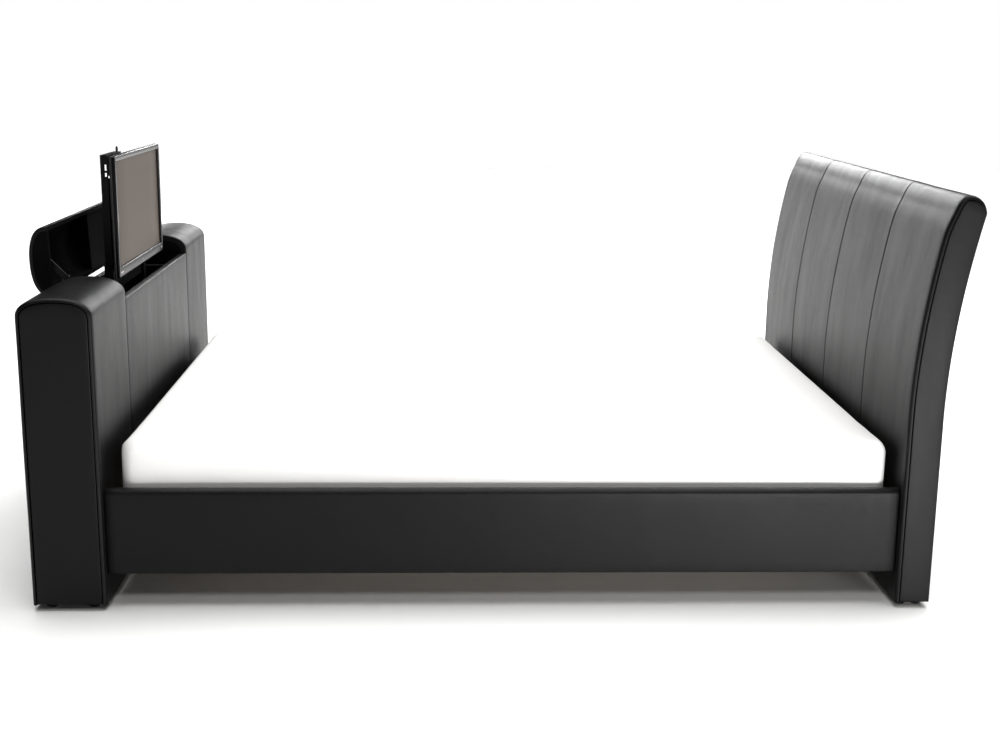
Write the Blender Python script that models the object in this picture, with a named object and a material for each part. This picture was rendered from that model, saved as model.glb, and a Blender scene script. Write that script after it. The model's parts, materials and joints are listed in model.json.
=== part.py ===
"""Sleigh bed with a television lift in its footboard.

Metres, +Z up, +X from the footboard to the headboard. Lengths along the bed are measured from
the footboard's inner face and widths from the bed's near side, and keep() then brings each piece
to the bed's own middle on the floor. The bed rests with its television up and its lid open.
"""

import math

import bmesh
import bpy
from mathutils import Matrix, Vector

# Driving dimensions: the whole bed
BED_WIDTH = 1.620
INNER_LENGTH = 2.024
BED_MIDDLE = 0.96405
BODY_BOTTOM = 0.015
GAP = 0.0003
CUT_PAST = 0.010

# Footboard
FOOT_DEPTH = 0.186
FOOT_SPRING = 0.755
FOOT_RISE = 0.048
ARCH_POWER = 2.3
ARCH_STEPS = 18
SHOULDER_WIDTH = 0.365
SHELL_WALL = 0.018
PANEL_THICK = 0.022
PANEL_EDGE = 0.004
PANEL_TOP = 0.744
REAR_TOP = 0.738
BASE_BOARD_Z = (0.030, 0.048)
INNER_BOARD_SET_BACK = 0.002
CROSS_RAIL_Y = (1.165, 1.195)
CROSS_RAIL_Z = (0.690, 0.715)

# Lid, its hinges and its stays
LID_WALL = 0.010
LID_UNDERSIDE = 0.7478
LID_SIDE_GAP = 0.0015
LID_OPEN = math.radians(92)
HINGE_AXIS = (-0.188, 0.7445)
HINGE_PLACES = (0.500, 1.120)
HINGE_WIDTH = 0.070
KNUCKLE_RADIUS = 0.0030
PIN_RADIUS = 0.0014
STAY_PIVOT = (-0.200, 0.835)
STAY_LENGTH = 0.165
STAY_SLOPE = math.radians(-45)

# Television and lift
TV_WIDTH = 0.600
TV_Z = (0.772, 1.109)
TV_FRONT = -0.045
POST_X = (-0.106, -0.086)
POST_Y = (0.600, 0.630)
POST_Z = (0.720, 1.040)
CHANNEL_WALL = 0.002
SLIDE_PLAY = 0.0006
MIDDLE_STAGE_Z = (0.380, 0.800)
OUTER_STAGE_Z = (0.0483, 0.600)
SPINDLE_X = -0.135
SPINDLE_RADIUS = 0.008

# Headboard
HEAD_THICK = 0.089
HEAD_TOP = 1.067
HEAD_LEAN = 0.076
LEAN_START = 0.500
LEAN_POWER = 1.9
HEAD_SIDE = 0.018
HEAD_PAD = 0.022
HEAD_BACK = 0.010
HEAD_NOSE = 0.115

# Bed base
RAIL_SETBACK = 0.024
RAIL_THICK = 0.036
RAIL_Z = (0.090, 0.313)
RAIL_ROLL = 0.014
LEDGE_SIZE = (0.030, 0.030)
SLAT_COUNT = 14
SLAT_WIDTH = 0.063
SLAT_Z = (0.2203, 0.2353)
MATTRESS_TOP = 0.446

MIDDLE_Y = BED_WIDTH / 2
WELL_X = (-FOOT_DEPTH + SHELL_WALL, -PANEL_THICK)
WELL_Y = (SHOULDER_WIDTH, BED_WIDTH - SHOULDER_WIDTH)

for old in list(bpy.data.objects):
    bpy.data.objects.remove(old)


# Materials

def material(name, colour, roughness, metallic=0.0):
    made = bpy.data.materials.new(name)
    made.use_nodes = True
    shader = made.node_tree.nodes["Principled BSDF"]
    shader.inputs["Base Color"].default_value = (*colour, 1)
    shader.inputs["Roughness"].default_value = roughness
    shader.inputs["Metallic"].default_value = metallic
    return made


LEATHER = material("black_faux_leather", (0.012, 0.012, 0.013), 0.42)
BOARD = material("black_lined_board", (0.008, 0.008, 0.008), 0.80)
TIMBER = material("pine", (0.55, 0.38, 0.20), 0.60)
SLAT_WOOD = material("birch_slat", (0.62, 0.47, 0.29), 0.50)
PAINTED = material("black_painted_steel", (0.015, 0.015, 0.016), 0.45, 0.4)
STEEL = material("zinc_steel", (0.45, 0.45, 0.46), 0.35, 1.0)
GLOSS = material("gloss_black_plastic", (0.010, 0.010, 0.012), 0.15)
PLASTIC = material("black_plastic", (0.012, 0.012, 0.012), 0.50)
SCREEN = material("screen", (0.16, 0.14, 0.13), 0.30)
COTTON = material("white_cotton", (0.90, 0.90, 0.89), 0.90)


# Making solids

def joint_axis(name, x, y, z, turn=0.0):
    """An empty on a joint's axis, which its moving pieces are parented to."""
    made = bpy.data.objects.new(name, None)
    made.location = (x - BED_MIDDLE, y - MIDDLE_Y, z)
    made.rotation_euler = (0, turn, 0)
    bpy.context.scene.collection.objects.link(made)
    return made


def keep(name, shape, finish, parent=None):
    """A named object from a bmesh in bed lengths, with its origin on its joint if it moves."""
    bmesh.ops.recalc_face_normals(shape, faces=shape.faces)
    to_origin = -Vector((BED_MIDDLE, MIDDLE_Y, 0))
    if parent:
        to_origin -= parent.location
    bmesh.ops.translate(shape, verts=shape.verts, vec=to_origin)
    mesh = bpy.data.meshes.new(name)
    shape.to_mesh(mesh)
    shape.free()
    mesh.shade_smooth()
    mesh.set_sharp_from_angle(angle=math.radians(30))
    made = bpy.data.objects.new(name, mesh)
    made.data.materials.append(finish)
    made.parent = parent
    bpy.context.scene.collection.objects.link(made)
    return made


def add_box(shape, xs, ys, zs):
    size = Vector((xs[1] - xs[0], ys[1] - ys[0], zs[1] - zs[0]))
    middle = Vector((sum(xs) / 2, sum(ys) / 2, sum(zs) / 2))
    bmesh.ops.create_cube(shape, size=1, matrix=Matrix.LocRotScale(middle, None, size))


def box(name, xs, ys, zs, finish, parent=None, bevel=0.0):
    shape = bmesh.new()
    add_box(shape, xs, ys, zs)
    if bevel:
        bmesh.ops.bevel(shape, geom=shape.edges[:], offset=bevel, segments=2, profile=0.5, affect="EDGES")
    return keep(name, shape, finish, parent)


def prism(name, outline, places, along, finish, parent=None):
    """An outline pushed along one axis: its two numbers are the other two axes, in order."""
    shape = bmesh.new()
    others = [axis for axis in range(3) if axis != along]
    corners = []
    for first, second in outline:
        place = [0.0, 0.0, 0.0]
        place[along] = places[0]
        place[others[0]] = first
        place[others[1]] = second
        corners.append(shape.verts.new(place))
    face = shape.faces.new(corners)
    pushed = bmesh.ops.extrude_face_region(shape, geom=[face])["geom"]
    step = [0.0, 0.0, 0.0]
    step[along] = places[1] - places[0]
    bmesh.ops.translate(shape, verts=[v for v in pushed if isinstance(v, bmesh.types.BMVert)], vec=step)
    return keep(name, shape, finish, parent)


def rod_shape(start, end, radius, sides=16):
    shape = bmesh.new()
    start, end = Vector(start), Vector(end)
    turn = (end - start).to_track_quat("Z", "Y")
    bmesh.ops.create_cone(
        shape, cap_ends=True, segments=sides, radius1=radius, radius2=radius, depth=(end - start).length,
        matrix=Matrix.LocRotScale((start + end) / 2, turn, None))
    return shape


def joined(piece, others, operation="UNION"):
    """Joins helpers to a piece, or cuts them from it, and leaves them out of the bed."""
    for other in others:
        other.hide_render = True
        other.display_type = "WIRE"
        change = piece.modifiers.new(operation.lower(), "BOOLEAN")
        change.operation = operation
        change.object = other
    return piece


# Footboard outlines

def arch_z(x, inset=0.0):
    """Height of the footboard's round top at x, for a skin set in by inset."""
    half = FOOT_DEPTH / 2 - inset
    part = min(abs(x + FOOT_DEPTH / 2) / half, 1.0)
    return FOOT_SPRING + (FOOT_RISE - inset) * (1 - part ** ARCH_POWER) ** (1 / ARCH_POWER)


def arch_line(inset=0.0):
    """The round top from its rear spring to its front spring, evenly stepped by angle."""
    half = FOOT_DEPTH / 2 - inset
    line = []
    for step in range(ARCH_STEPS + 1):
        x = -FOOT_DEPTH / 2 - half * math.cos(math.pi * step / ARCH_STEPS)
        line.append((x, arch_z(x, inset)))
    return line


def arch_board(bottom, inset=0.0):
    """A solid board with the round top."""
    half = FOOT_DEPTH / 2 - inset
    return [(-FOOT_DEPTH / 2 - half, bottom), *arch_line(inset), (-FOOT_DEPTH / 2 + half, bottom)]


def arch_shell(bottom, wall):
    """A skin of even thickness, open underneath."""
    return arch_board(bottom) + arch_board(bottom, wall)[::-1]


# Footboard: two upholstered shoulders, each a bent shell with an end panel and an inner board

def mirrored(ys, far):
    return (BED_WIDTH - ys[1], BED_WIDTH - ys[0]) if far else ys


for side in ("near", "far"):
    far = side == "far"
    prism(f"footboard_shoulder_{side}", arch_shell(BODY_BOTTOM, SHELL_WALL),
          mirrored((SHELL_WALL + GAP, SHOULDER_WIDTH), far), 1, LEATHER)
    prism(f"footboard_end_panel_{side}", arch_board(BODY_BOTTOM), mirrored((0, SHELL_WALL), far), 1, LEATHER)
    prism(f"footboard_inner_board_{side}", arch_board(BASE_BOARD_Z[1] + GAP, SHELL_WALL + GAP),
          mirrored((SHOULDER_WIDTH - SHELL_WALL, SHOULDER_WIDTH - INNER_BOARD_SET_BACK), far), 1, BOARD)

between = (WELL_Y[0] + GAP, WELL_Y[1] - GAP)
box("footboard_front_panel", (-PANEL_THICK, 0), between, (BODY_BOTTOM, PANEL_TOP), LEATHER, bevel=PANEL_EDGE)
box("footboard_rear_panel", (-FOOT_DEPTH, WELL_X[0]), between, (BODY_BOTTOM, REAR_TOP), LEATHER)
well_inside = (WELL_X[0] + GAP, WELL_X[1] - GAP)
box("footboard_base_board", well_inside, (SHELL_WALL + GAP, BED_WIDTH - SHELL_WALL - GAP), BASE_BOARD_Z, BOARD)
box("well_cross_rail", well_inside, CROSS_RAIL_Y, CROSS_RAIL_Z, PAINTED)


# Lid: a hollow round-topped shell with two ends and a rib, turned about its hinge line

lid_axis = joint_axis("lid_axis", HINGE_AXIS[0], 0, HINGE_AXIS[1], -LID_OPEN)
LID_Y = (WELL_Y[0] + LID_SIDE_GAP, WELL_Y[1] - LID_SIDE_GAP)
LID_END = 0.012
RIB_Y = (0.800, 0.812)
RIB_SET_UP = 0.004
prism("lid_shell", arch_shell(LID_UNDERSIDE, LID_WALL), LID_Y, 1, LEATHER, lid_axis)
lid_filling = arch_board(LID_UNDERSIDE, LID_WALL + GAP)
prism("lid_rib", arch_board(LID_UNDERSIDE + RIB_SET_UP, LID_WALL + GAP), RIB_Y, 1, BOARD, lid_axis)

STAY_THICK = 0.004
STAY_OFF = 0.006
STAY_PIN = 0.0030
PIN_ROOT = 0.004
PIN_HEAD = 0.002
PIN_PLAY = 0.0005


def in_closed_lid(x, z):
    """Where a place on the open lid lies while the lid is shut."""
    dx, dz = x - HINGE_AXIS[0], z - HINGE_AXIS[1]
    c, s = math.cos(LID_OPEN), math.sin(LID_OPEN)
    return HINGE_AXIS[0] + dx * c + dz * s, HINGE_AXIS[1] - dx * s + dz * c


pin_x, pin_z = in_closed_lid(*STAY_PIVOT)
for side in ("near", "far"):
    far = side == "far"
    end = prism(f"lid_end_{side}", lid_filling, mirrored((LID_Y[0], LID_Y[0] + LID_END), far), 1, BOARD, lid_axis)
    pin_y = mirrored((LID_Y[0] + LID_END - PIN_ROOT, LID_Y[0] + LID_END + STAY_OFF + STAY_THICK + PIN_HEAD), far)
    pin = keep("cut_stay_pin", rod_shape((pin_x, pin_y[0], pin_z), (pin_x, pin_y[1], pin_z), STAY_PIN), BOARD,
               lid_axis)
    joined(end, [pin])

LEAF_THICK = 0.0016
LEAF_FIT = 0.0007
LEAF_REACH = 0.036
LEAF_DROP = 0.040
KNUCKLE_CLEAR = 0.0036
TONGUE_RISE = 0.0010
STRAP_OVERLAP = 0.0024
PIN_PROUD = 0.001
for number, place in enumerate(HINGE_PLACES, 1):
    ends = (place - HINGE_WIDTH / 2, place + HINGE_WIDTH / 2)
    third = HINGE_WIDTH / 3
    middle = (ends[0] + third, ends[1] - third)
    hx, hz = HINGE_AXIS

    # The lid's leaf lies under the lid's rear wall and carries the middle knuckle.
    leaf_z = (hz + TONGUE_RISE, hz + TONGUE_RISE + LEAF_THICK)
    leaf = box(f"hinge_{number}_lid_leaf", (hx + KNUCKLE_CLEAR, hx + LEAF_REACH), ends, leaf_z, STEEL, lid_axis)
    tongue = box("cut_tongue", (hx, hx + KNUCKLE_CLEAR + STRAP_OVERLAP), middle, leaf_z, STEEL, lid_axis)
    knuckle = keep("cut_knuckle", rod_shape((hx, middle[0], hz), (hx, middle[1], hz), KNUCKLE_RADIUS),
                   STEEL, lid_axis)
    joined(leaf, [tongue, knuckle])
    bore = keep("cut_bore", rod_shape((hx, ends[0], hz), (hx, ends[1], hz), PIN_RADIUS + GAP), STEEL, lid_axis)
    joined(leaf, [bore], "DIFFERENCE")

    # The fixed leaf lies on the rear panel and carries the outer knuckles and the riveted pin.
    plate_x = (-FOOT_DEPTH - LEAF_FIT - LEAF_THICK, -FOOT_DEPTH - LEAF_FIT)
    plate = box(f"hinge_{number}_fixed_leaf", plate_x, ends, (hz - LEAF_DROP, hz - KNUCKLE_CLEAR), STEEL)
    parts = []
    for ys in ((ends[0], middle[0] - GAP), (middle[1] + GAP, ends[1])):
        parts.append(box("cut_strap", plate_x, ys, (hz - KNUCKLE_CLEAR - STRAP_OVERLAP, hz), STEEL))
        knuckle = rod_shape((hx, ys[0] + GAP, hz), (hx, ys[1] - GAP, hz), KNUCKLE_RADIUS)
        parts.append(keep("cut_outer_knuckle", knuckle, STEEL))
    parts.append(keep("cut_pin", rod_shape((hx, ends[0] - PIN_PROUD, hz), (hx, ends[1] + PIN_PROUD, hz),
                                            PIN_RADIUS), STEEL))
    joined(plate, parts)

# Two flat stays, each hung on a pivot inside the lid and leading down into the well
STAY_HALF = 0.008
stay_run = Vector((math.cos(STAY_SLOPE), math.sin(STAY_SLOPE))) * STAY_LENGTH
stay_side = Vector((-math.sin(STAY_SLOPE), math.cos(STAY_SLOPE))) * STAY_HALF
for side in ("near", "far"):
    stay_y = LID_Y[0] + LID_END + STAY_OFF
    ys = mirrored((stay_y, stay_y + STAY_THICK), side == "far")
    stay_axis = joint_axis(f"stay_axis_{side}", STAY_PIVOT[0], 0, STAY_PIVOT[1])
    start = Vector(STAY_PIVOT)
    back = -stay_run.normalized() * STAY_HALF
    outline = [start + back - stay_side, start + stay_run - stay_side, start + stay_run + stay_side,
               start + back + stay_side]
    stay = prism(f"lid_stay_{side}", [tuple(corner) for corner in outline], ys, 1, STEEL, stay_axis)
    eye = keep("cut_stay_eye", rod_shape((start.x, ys[0] - CUT_PAST, start.y), (start.x, ys[1] + CUT_PAST, start.y),
                                         STAY_PIN + PIN_PLAY), STEEL, stay_axis)
    joined(stay, [eye], "DIFFERENCE")


# Television: a thin housing with a deeper back, a bezel and a screen

lift_axis = joint_axis("lift_axis", SPINDLE_X, MIDDLE_Y, TV_Z[0])
BEZEL_SIDE = 0.022
BEZEL_TOP = 0.015
BEZEL_BOTTOM = 0.029
tv_y = (MIDDLE_Y - TV_WIDTH / 2, MIDDLE_Y + TV_WIDTH / 2)
TV_CASE_BACK = -0.061
TV_BEZEL_BACK = -0.053
TV_BACK = -0.0842
TV_BACK_HALF = 0.150
TV_BACK_Z = (0.820, 1.060)
TV_BACK_ROOT = 0.004
TV_BACK_EDGE = 0.006
BEZEL_EDGE = 0.002
SCREEN_SUNK = 0.0015
back_y = (MIDDLE_Y - TV_BACK_HALF, MIDDLE_Y + TV_BACK_HALF)
case = box("tv_case", (TV_CASE_BACK, TV_BEZEL_BACK - GAP), tv_y, TV_Z, PLASTIC, lift_axis)
joined(case, [box("cut_tv_back", (TV_BACK, TV_CASE_BACK + TV_BACK_ROOT), back_y, TV_BACK_Z, PLASTIC, lift_axis,
                  bevel=TV_BACK_EDGE)])
screen_y = (tv_y[0] + BEZEL_SIDE, tv_y[1] - BEZEL_SIDE)
screen_z = (TV_Z[0] + BEZEL_BOTTOM, TV_Z[1] - BEZEL_TOP)
bezel = box("tv_bezel", (TV_BEZEL_BACK, TV_FRONT), tv_y, TV_Z, GLOSS, lift_axis, bevel=BEZEL_EDGE)
opening = box("cut_screen_opening", (TV_BEZEL_BACK - CUT_PAST, TV_FRONT + CUT_PAST), screen_y, screen_z, GLOSS,
              lift_axis)
joined(bezel, [opening], "DIFFERENCE")
box("tv_screen", (TV_BEZEL_BACK, TV_FRONT - SCREEN_SUNK), (screen_y[0] + GAP, screen_y[1] - GAP),
    (screen_z[0] + GAP, screen_z[1] - GAP), SCREEN, lift_axis)


# Lift: two posts with cross bars rise out of two nested channels, driven by a spindle

CROSS_BAR_X = (-0.102, -0.0883)
BAR_OVERLAP = 0.002
LOW_BAR_Z = (0.7205, 0.7445)
MIDDLE_BAR_Z = (0.870, 0.895)
HIGH_BAR_Z = (1.000, 1.025)
BRACKET_FRONT = -0.0845
BRACKET_HALF = 0.110
BRACKET_Z = (0.860, 1.035)
post_spans = (POST_Y, mirrored(POST_Y, True))
frame = box("lift_frame", POST_X, POST_Y, POST_Z, PAINTED, lift_axis)
bar_y = (POST_Y[1] - BAR_OVERLAP, BED_WIDTH - POST_Y[1] + BAR_OVERLAP)
joined(frame, [
    box("cut_far_post", POST_X, post_spans[1], POST_Z, PAINTED, lift_axis),
    box("cut_low_bar", CROSS_BAR_X, bar_y, LOW_BAR_Z, PAINTED, lift_axis),
    box("cut_middle_bar", CROSS_BAR_X, bar_y, MIDDLE_BAR_Z, PAINTED, lift_axis),
    box("cut_high_bar", CROSS_BAR_X, bar_y, HIGH_BAR_Z, PAINTED, lift_axis),
])
box("tv_bracket_plate", (CROSS_BAR_X[1] + GAP, BRACKET_FRONT), (MIDDLE_Y - BRACKET_HALF, MIDDLE_Y + BRACKET_HALF),
    BRACKET_Z, PAINTED, lift_axis)

# The head stands on the near post: a slotted cheek with a bar across its top. It keeps within the
# post's outline, so that it can follow the post down between the channels' walls.
HEAD_TOP_Z = 1.106
HEAD_BAR_Z = 1.084
HEAD_BAR_END = 0.770
CHEEK_THICK = 0.004
CHEEK_Y = (POST_Y[0], POST_Y[0] + CHEEK_THICK)
SLOT_X = (-0.0950, -0.0892)
SLOTS_Z = ((1.046, 1.057), (1.063, 1.080))
cheek = box("lift_head", POST_X, CHEEK_Y, (POST_Z[1] + GAP, HEAD_TOP_Z), PAINTED, lift_axis)
joined(cheek, [box("cut_head_bar", POST_X, (CHEEK_Y[0], HEAD_BAR_END), (HEAD_BAR_Z, HEAD_TOP_Z), PAINTED, lift_axis)])
slot_y = (CHEEK_Y[0] - CUT_PAST, CHEEK_Y[0] + CUT_PAST)
for slot_z in SLOTS_Z:
    joined(cheek, [box("cut_slot", SLOT_X, slot_y, slot_z, PAINTED, lift_axis)], "DIFFERENCE")


def channel(name, grow, far, zs, parent=None):
    """A channel around a post, open towards the middle of the bed, whose inner face is grow away."""
    out = grow + CHANNEL_WALL
    xs = (POST_X[0] - grow, POST_X[1] + grow)
    y_in, y_tip = POST_Y[0] - grow, POST_Y[1] + grow
    outline = [
        (xs[0] - CHANNEL_WALL, POST_Y[0] - out), (xs[1] + CHANNEL_WALL, POST_Y[0] - out),
        (xs[1] + CHANNEL_WALL, y_tip), (xs[1], y_tip), (xs[1], y_in),
        (xs[0], y_in), (xs[0], y_tip), (xs[0] - CHANNEL_WALL, y_tip),
    ]
    if far:
        outline = [(x, BED_WIDTH - y) for x, y in outline]
    return prism(name, outline, zs, 2, PAINTED, parent)


middle_axis = joint_axis("middle_stage_axis", SPINDLE_X, MIDDLE_Y, MIDDLE_STAGE_Z[0])
stage = channel("lift_middle_stage", SLIDE_PLAY, False, MIDDLE_STAGE_Z, middle_axis)
far_stage = channel("cut_far_stage", SLIDE_PLAY, True, MIDDLE_STAGE_Z, middle_axis)
TIE_LIFT = 0.0005
TIE_DEEP = 0.0085
TIE_Z = (MIDDLE_STAGE_Z[0] + TIE_LIFT, MIDDLE_STAGE_Z[0] + TIE_LIFT + TIE_DEEP)
TIE_END = POST_Y[0] - SLIDE_PLAY - CHANNEL_WALL / 2
tie_bar = box("cut_tie_bar", CROSS_BAR_X, (TIE_END, BED_WIDTH - TIE_END), TIE_Z, PAINTED, middle_axis)
joined(stage, [far_stage, tie_bar])
outer_play = SLIDE_PLAY * 2 + CHANNEL_WALL
channel("lift_channel_near", outer_play, False, OUTER_STAGE_Z)
channel("lift_channel_far", outer_play, True, OUTER_STAGE_Z)

# The nut is bolted to the frame's low bar and climbs the spindle beside the motor's belt cover.
SPINDLE_Z = (0.0483, 0.7420)
NUT_HALF = 0.020
NUT_BEHIND = 0.015
NUT_PLAY = 0.0005
NUT_Y = (MIDDLE_Y - NUT_HALF, MIDDLE_Y + NUT_HALF)
NUT_Z = (LOW_BAR_Z[0], LOW_BAR_Z[1] - NUT_PLAY)
nut = box("drive_nut", (SPINDLE_X - NUT_BEHIND, CROSS_BAR_X[0] - GAP), NUT_Y, NUT_Z, PLASTIC, lift_axis)
nut_bore = keep("cut_nut_bore", rod_shape((SPINDLE_X, MIDDLE_Y, NUT_Z[0] - CUT_PAST),
                                          (SPINDLE_X, MIDDLE_Y, NUT_Z[1] + CUT_PAST),
                                          SPINDLE_RADIUS + NUT_PLAY), PLASTIC, lift_axis)
joined(nut, [nut_bore], "DIFFERENCE")
spindle_axis = joint_axis("spindle_axis", SPINDLE_X, MIDDLE_Y, SPINDLE_Z[0])
keep("lift_spindle", rod_shape((SPINDLE_X, MIDDLE_Y, SPINDLE_Z[0]), (SPINDLE_X, MIDDLE_Y, SPINDLE_Z[1]),
                               SPINDLE_RADIUS), STEEL, spindle_axis)
MOTOR_Y = 0.905
MOTOR_RADIUS = 0.024
MOTOR_TOP = 0.175
MOTOR_BEHIND = 0.004
COVER_X = (-0.162, -0.113)
COVER_END = MOTOR_Y + 0.028
COVER_Z = (OUTER_STAGE_Z[0], 0.0590)
COVER_PLAY = 0.001
cover = box("drive_belt_cover", COVER_X, (NUT_Y[0], COVER_END), COVER_Z, PLASTIC)
cover_bore = keep("cut_cover_bore", rod_shape((SPINDLE_X, MIDDLE_Y, COVER_Z[0] - CUT_PAST),
                                              (SPINDLE_X, MIDDLE_Y, COVER_Z[1] + CUT_PAST),
                                              SPINDLE_RADIUS + COVER_PLAY), PLASTIC)
joined(cover, [cover_bore], "DIFFERENCE")
motor_x = SPINDLE_X - MOTOR_BEHIND
motor_foot = (motor_x, MOTOR_Y, COVER_Z[1] + GAP)
keep("drive_motor", rod_shape(motor_foot, (motor_x, MOTOR_Y, MOTOR_TOP), MOTOR_RADIUS, sides=24), STEEL)
CONTROL_X = (-0.163, -0.118)
CONTROL_Y = (1.030, 1.150)
CONTROL_Z = (OUTER_STAGE_Z[0], 0.098)
box("control_box", CONTROL_X, CONTROL_Y, CONTROL_Z, PLASTIC, bevel=0.003)


# Headboard: a hollow slab that leans back in a smooth curve and ends in a round top

def lean(z):
    part = max(z - LEAN_START, 0) / (HEAD_TOP - LEAN_START)
    return HEAD_LEAN * part ** LEAN_POWER


HEAD_MIDDLE = INNER_LENGTH + HEAD_THICK / 2
ROUND_CENTRE = HEAD_TOP - HEAD_THICK / 2
HEAD_STEPS = 9
ROUND_STEPS = 16


def head_line(inset, top, bottom=BODY_BOTTOM):
    """The slab's front line at inset from its face, from the bottom up."""
    heights = [LEAN_START + (top - LEAN_START) * step / HEAD_STEPS for step in range(HEAD_STEPS + 1)]
    return [(HEAD_MIDDLE - HEAD_THICK / 2 + inset + lean(z), z) for z in (bottom, *heights)]


def head_face(inset):
    """The front line, its long nose and the rounder rear of the top, set in from the slab's surface."""
    half = HEAD_THICK / 2 - inset
    over = []
    for step in range(1, ROUND_STEPS + 1):
        angle = math.pi * step / ROUND_STEPS
        tall = HEAD_NOSE if angle < math.pi / 2 else HEAD_THICK / 2
        z = HEAD_TOP - tall + (tall - inset) * math.sin(angle)
        over.append((HEAD_MIDDLE + lean(min(z, ROUND_CENTRE)) - half * math.cos(angle), z))
    return head_line(inset, HEAD_TOP - HEAD_NOSE) + over


slab = head_face(0) + head_line(HEAD_THICK, ROUND_CENTRE)[-2::-1]
for side in ("near", "far"):
    prism(f"headboard_side_{side}", slab, mirrored((0, HEAD_SIDE), side == "far"), 1, LEATHER)
head_between = (HEAD_SIDE + GAP, BED_WIDTH - HEAD_SIDE - GAP)

# The stitched front cover and its foam run up the face and over the round top.
prism("headboard_front_pad", head_face(0) + head_face(HEAD_PAD)[::-1], head_between, 1, LEATHER)
back_top = ROUND_CENTRE - 0.001
LADDER_TOP = HEAD_TOP - HEAD_NOSE - 0.005
LADDER_POST_Y = (0.020, 0.090)
LADDER_RAIL_LOWS = (0.110, 0.420)
LADDER_RAIL_DEEP = 0.080
back_outline = [*head_line(HEAD_THICK, back_top), *head_line(HEAD_THICK - HEAD_BACK, back_top)[::-1]]
prism("headboard_back_panel", back_outline, head_between, 1, BOARD)

# A timber ladder frame stands between the cover and the back.
post_outline = [*head_line(HEAD_PAD + GAP, LADDER_TOP), *head_line(HEAD_THICK - HEAD_BACK - GAP, LADDER_TOP)[::-1]]
ladder = prism("headboard_frame", post_outline, LADDER_POST_Y, 1, TIMBER)
helpers = [prism("cut_far_head_post", post_outline, mirrored(LADDER_POST_Y, True), 1, TIMBER)]
rail_y = (LADDER_POST_Y[1] - CUT_PAST, BED_WIDTH - LADDER_POST_Y[1] + CUT_PAST)
for low in LADDER_RAIL_LOWS:
    xs = (INNER_LENGTH + HEAD_PAD + 2 * GAP, INNER_LENGTH + HEAD_THICK - HEAD_BACK - 2 * GAP)
    helpers.append(box("cut_head_rail", xs, rail_y, (low, low + LADDER_RAIL_DEEP), TIMBER))
joined(ladder, helpers)


# Bed base: two upholstered side rails, ledges, a centre beam on two legs, and a roll of slats

RAIL_X = (GAP, INNER_LENGTH - GAP)


def rail_outline():
    """Seen along the bed: flat sides and a softly rolled top."""
    y0, y1 = RAIL_SETBACK, RAIL_SETBACK + RAIL_THICK
    line = [(y0, RAIL_Z[0])]
    for centre_y, first in ((y0 + RAIL_ROLL, 180), (y1 - RAIL_ROLL, 90)):
        for step in range(5):
            angle = math.radians(first - step * 22.5)
            line.append((centre_y + RAIL_ROLL * math.cos(angle), RAIL_Z[1] - RAIL_ROLL + RAIL_ROLL * math.sin(angle)))
    return [*line, (y1, RAIL_Z[0])]


RAIL_INNER = RAIL_SETBACK + RAIL_THICK
LEDGE_Z = (SLAT_Z[0] - GAP - LEDGE_SIZE[1], SLAT_Z[0] - GAP)
LEDGE_SHORT = 0.060
BRACKET_PLATE = 0.045
BRACKET_WEB = 0.050
BRACKET_THICK = 0.004
CORNER_BRACKET_Z = (0.100, 0.180)
for side in ("near", "far"):
    far = side == "far"
    outline = [(BED_WIDTH - y, z) for y, z in rail_outline()] if far else rail_outline()
    prism(f"side_rail_{side}", outline, RAIL_X, 0, LEATHER)
    ledge_y = mirrored((RAIL_INNER + GAP, RAIL_INNER + GAP + LEDGE_SIZE[0]), far)
    box(f"slat_ledge_{side}", (LEDGE_SHORT, INNER_LENGTH - LEDGE_SHORT), ledge_y, LEDGE_Z, TIMBER)
    for end, x in (("foot", GAP), ("head", INNER_LENGTH - GAP)):
        inward = 1 if end == "foot" else -1
        plate_x = sorted((x, x + inward * BRACKET_THICK))
        plate_y = mirrored((RAIL_INNER + GAP, RAIL_INNER + GAP + BRACKET_PLATE), far)
        web_x = sorted((x, x + inward * BRACKET_WEB))
        web_y = mirrored((RAIL_INNER + GAP, RAIL_INNER + GAP + BRACKET_THICK), far)
        bracket = box(f"rail_bracket_{side}_{end}", plate_x, plate_y, CORNER_BRACKET_Z, STEEL)
        joined(bracket, [box("cut_bracket_web", web_x, web_y, CORNER_BRACKET_Z, STEEL)])

BEAM_HALF = 0.025
BEAM_Y = (MIDDLE_Y - BEAM_HALF, MIDDLE_Y + BEAM_HALF)
BEAM_Z = (0.150, SLAT_Z[0] - GAP)
box("centre_beam", RAIL_X, BEAM_Y, BEAM_Z, TIMBER)
LEG_RADIUS = 0.022
for number, x in enumerate((INNER_LENGTH / 3, INNER_LENGTH * 2 / 3), 1):
    keep(f"centre_leg_{number}", rod_shape((x, MIDDLE_Y, 0), (x, MIDDLE_Y, BEAM_Z[0] - GAP), LEG_RADIUS), PLASTIC)

SLAT_PLAY = 0.004
SLAT_START = 0.015
TAPE_START = 0.020
TAPE_Y = (0.330, 0.365)
TAPE_HALF = 0.001
slat_y = (RAIL_INNER + SLAT_PLAY, BED_WIDTH - RAIL_INNER - SLAT_PLAY)
slat_pitch = (INNER_LENGTH - 2 * SLAT_START - SLAT_WIDTH) / (SLAT_COUNT - 1)
slats = []
for number in range(SLAT_COUNT):
    x = SLAT_START + number * slat_pitch
    slats.append(box("slat_roll" if number == 0 else "cut_slat", (x, x + SLAT_WIDTH), slat_y, SLAT_Z, SLAT_WOOD))
tape_x = (TAPE_START, INNER_LENGTH - TAPE_START)
tape_z = (SLAT_Z[1] - TAPE_HALF, SLAT_Z[1] + TAPE_HALF)
tapes = [box("cut_tape", tape_x, mirrored(TAPE_Y, far), tape_z, SLAT_WOOD) for far in (False, True)]
joined(slats[0], [*tapes, *slats[1:]])


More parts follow.
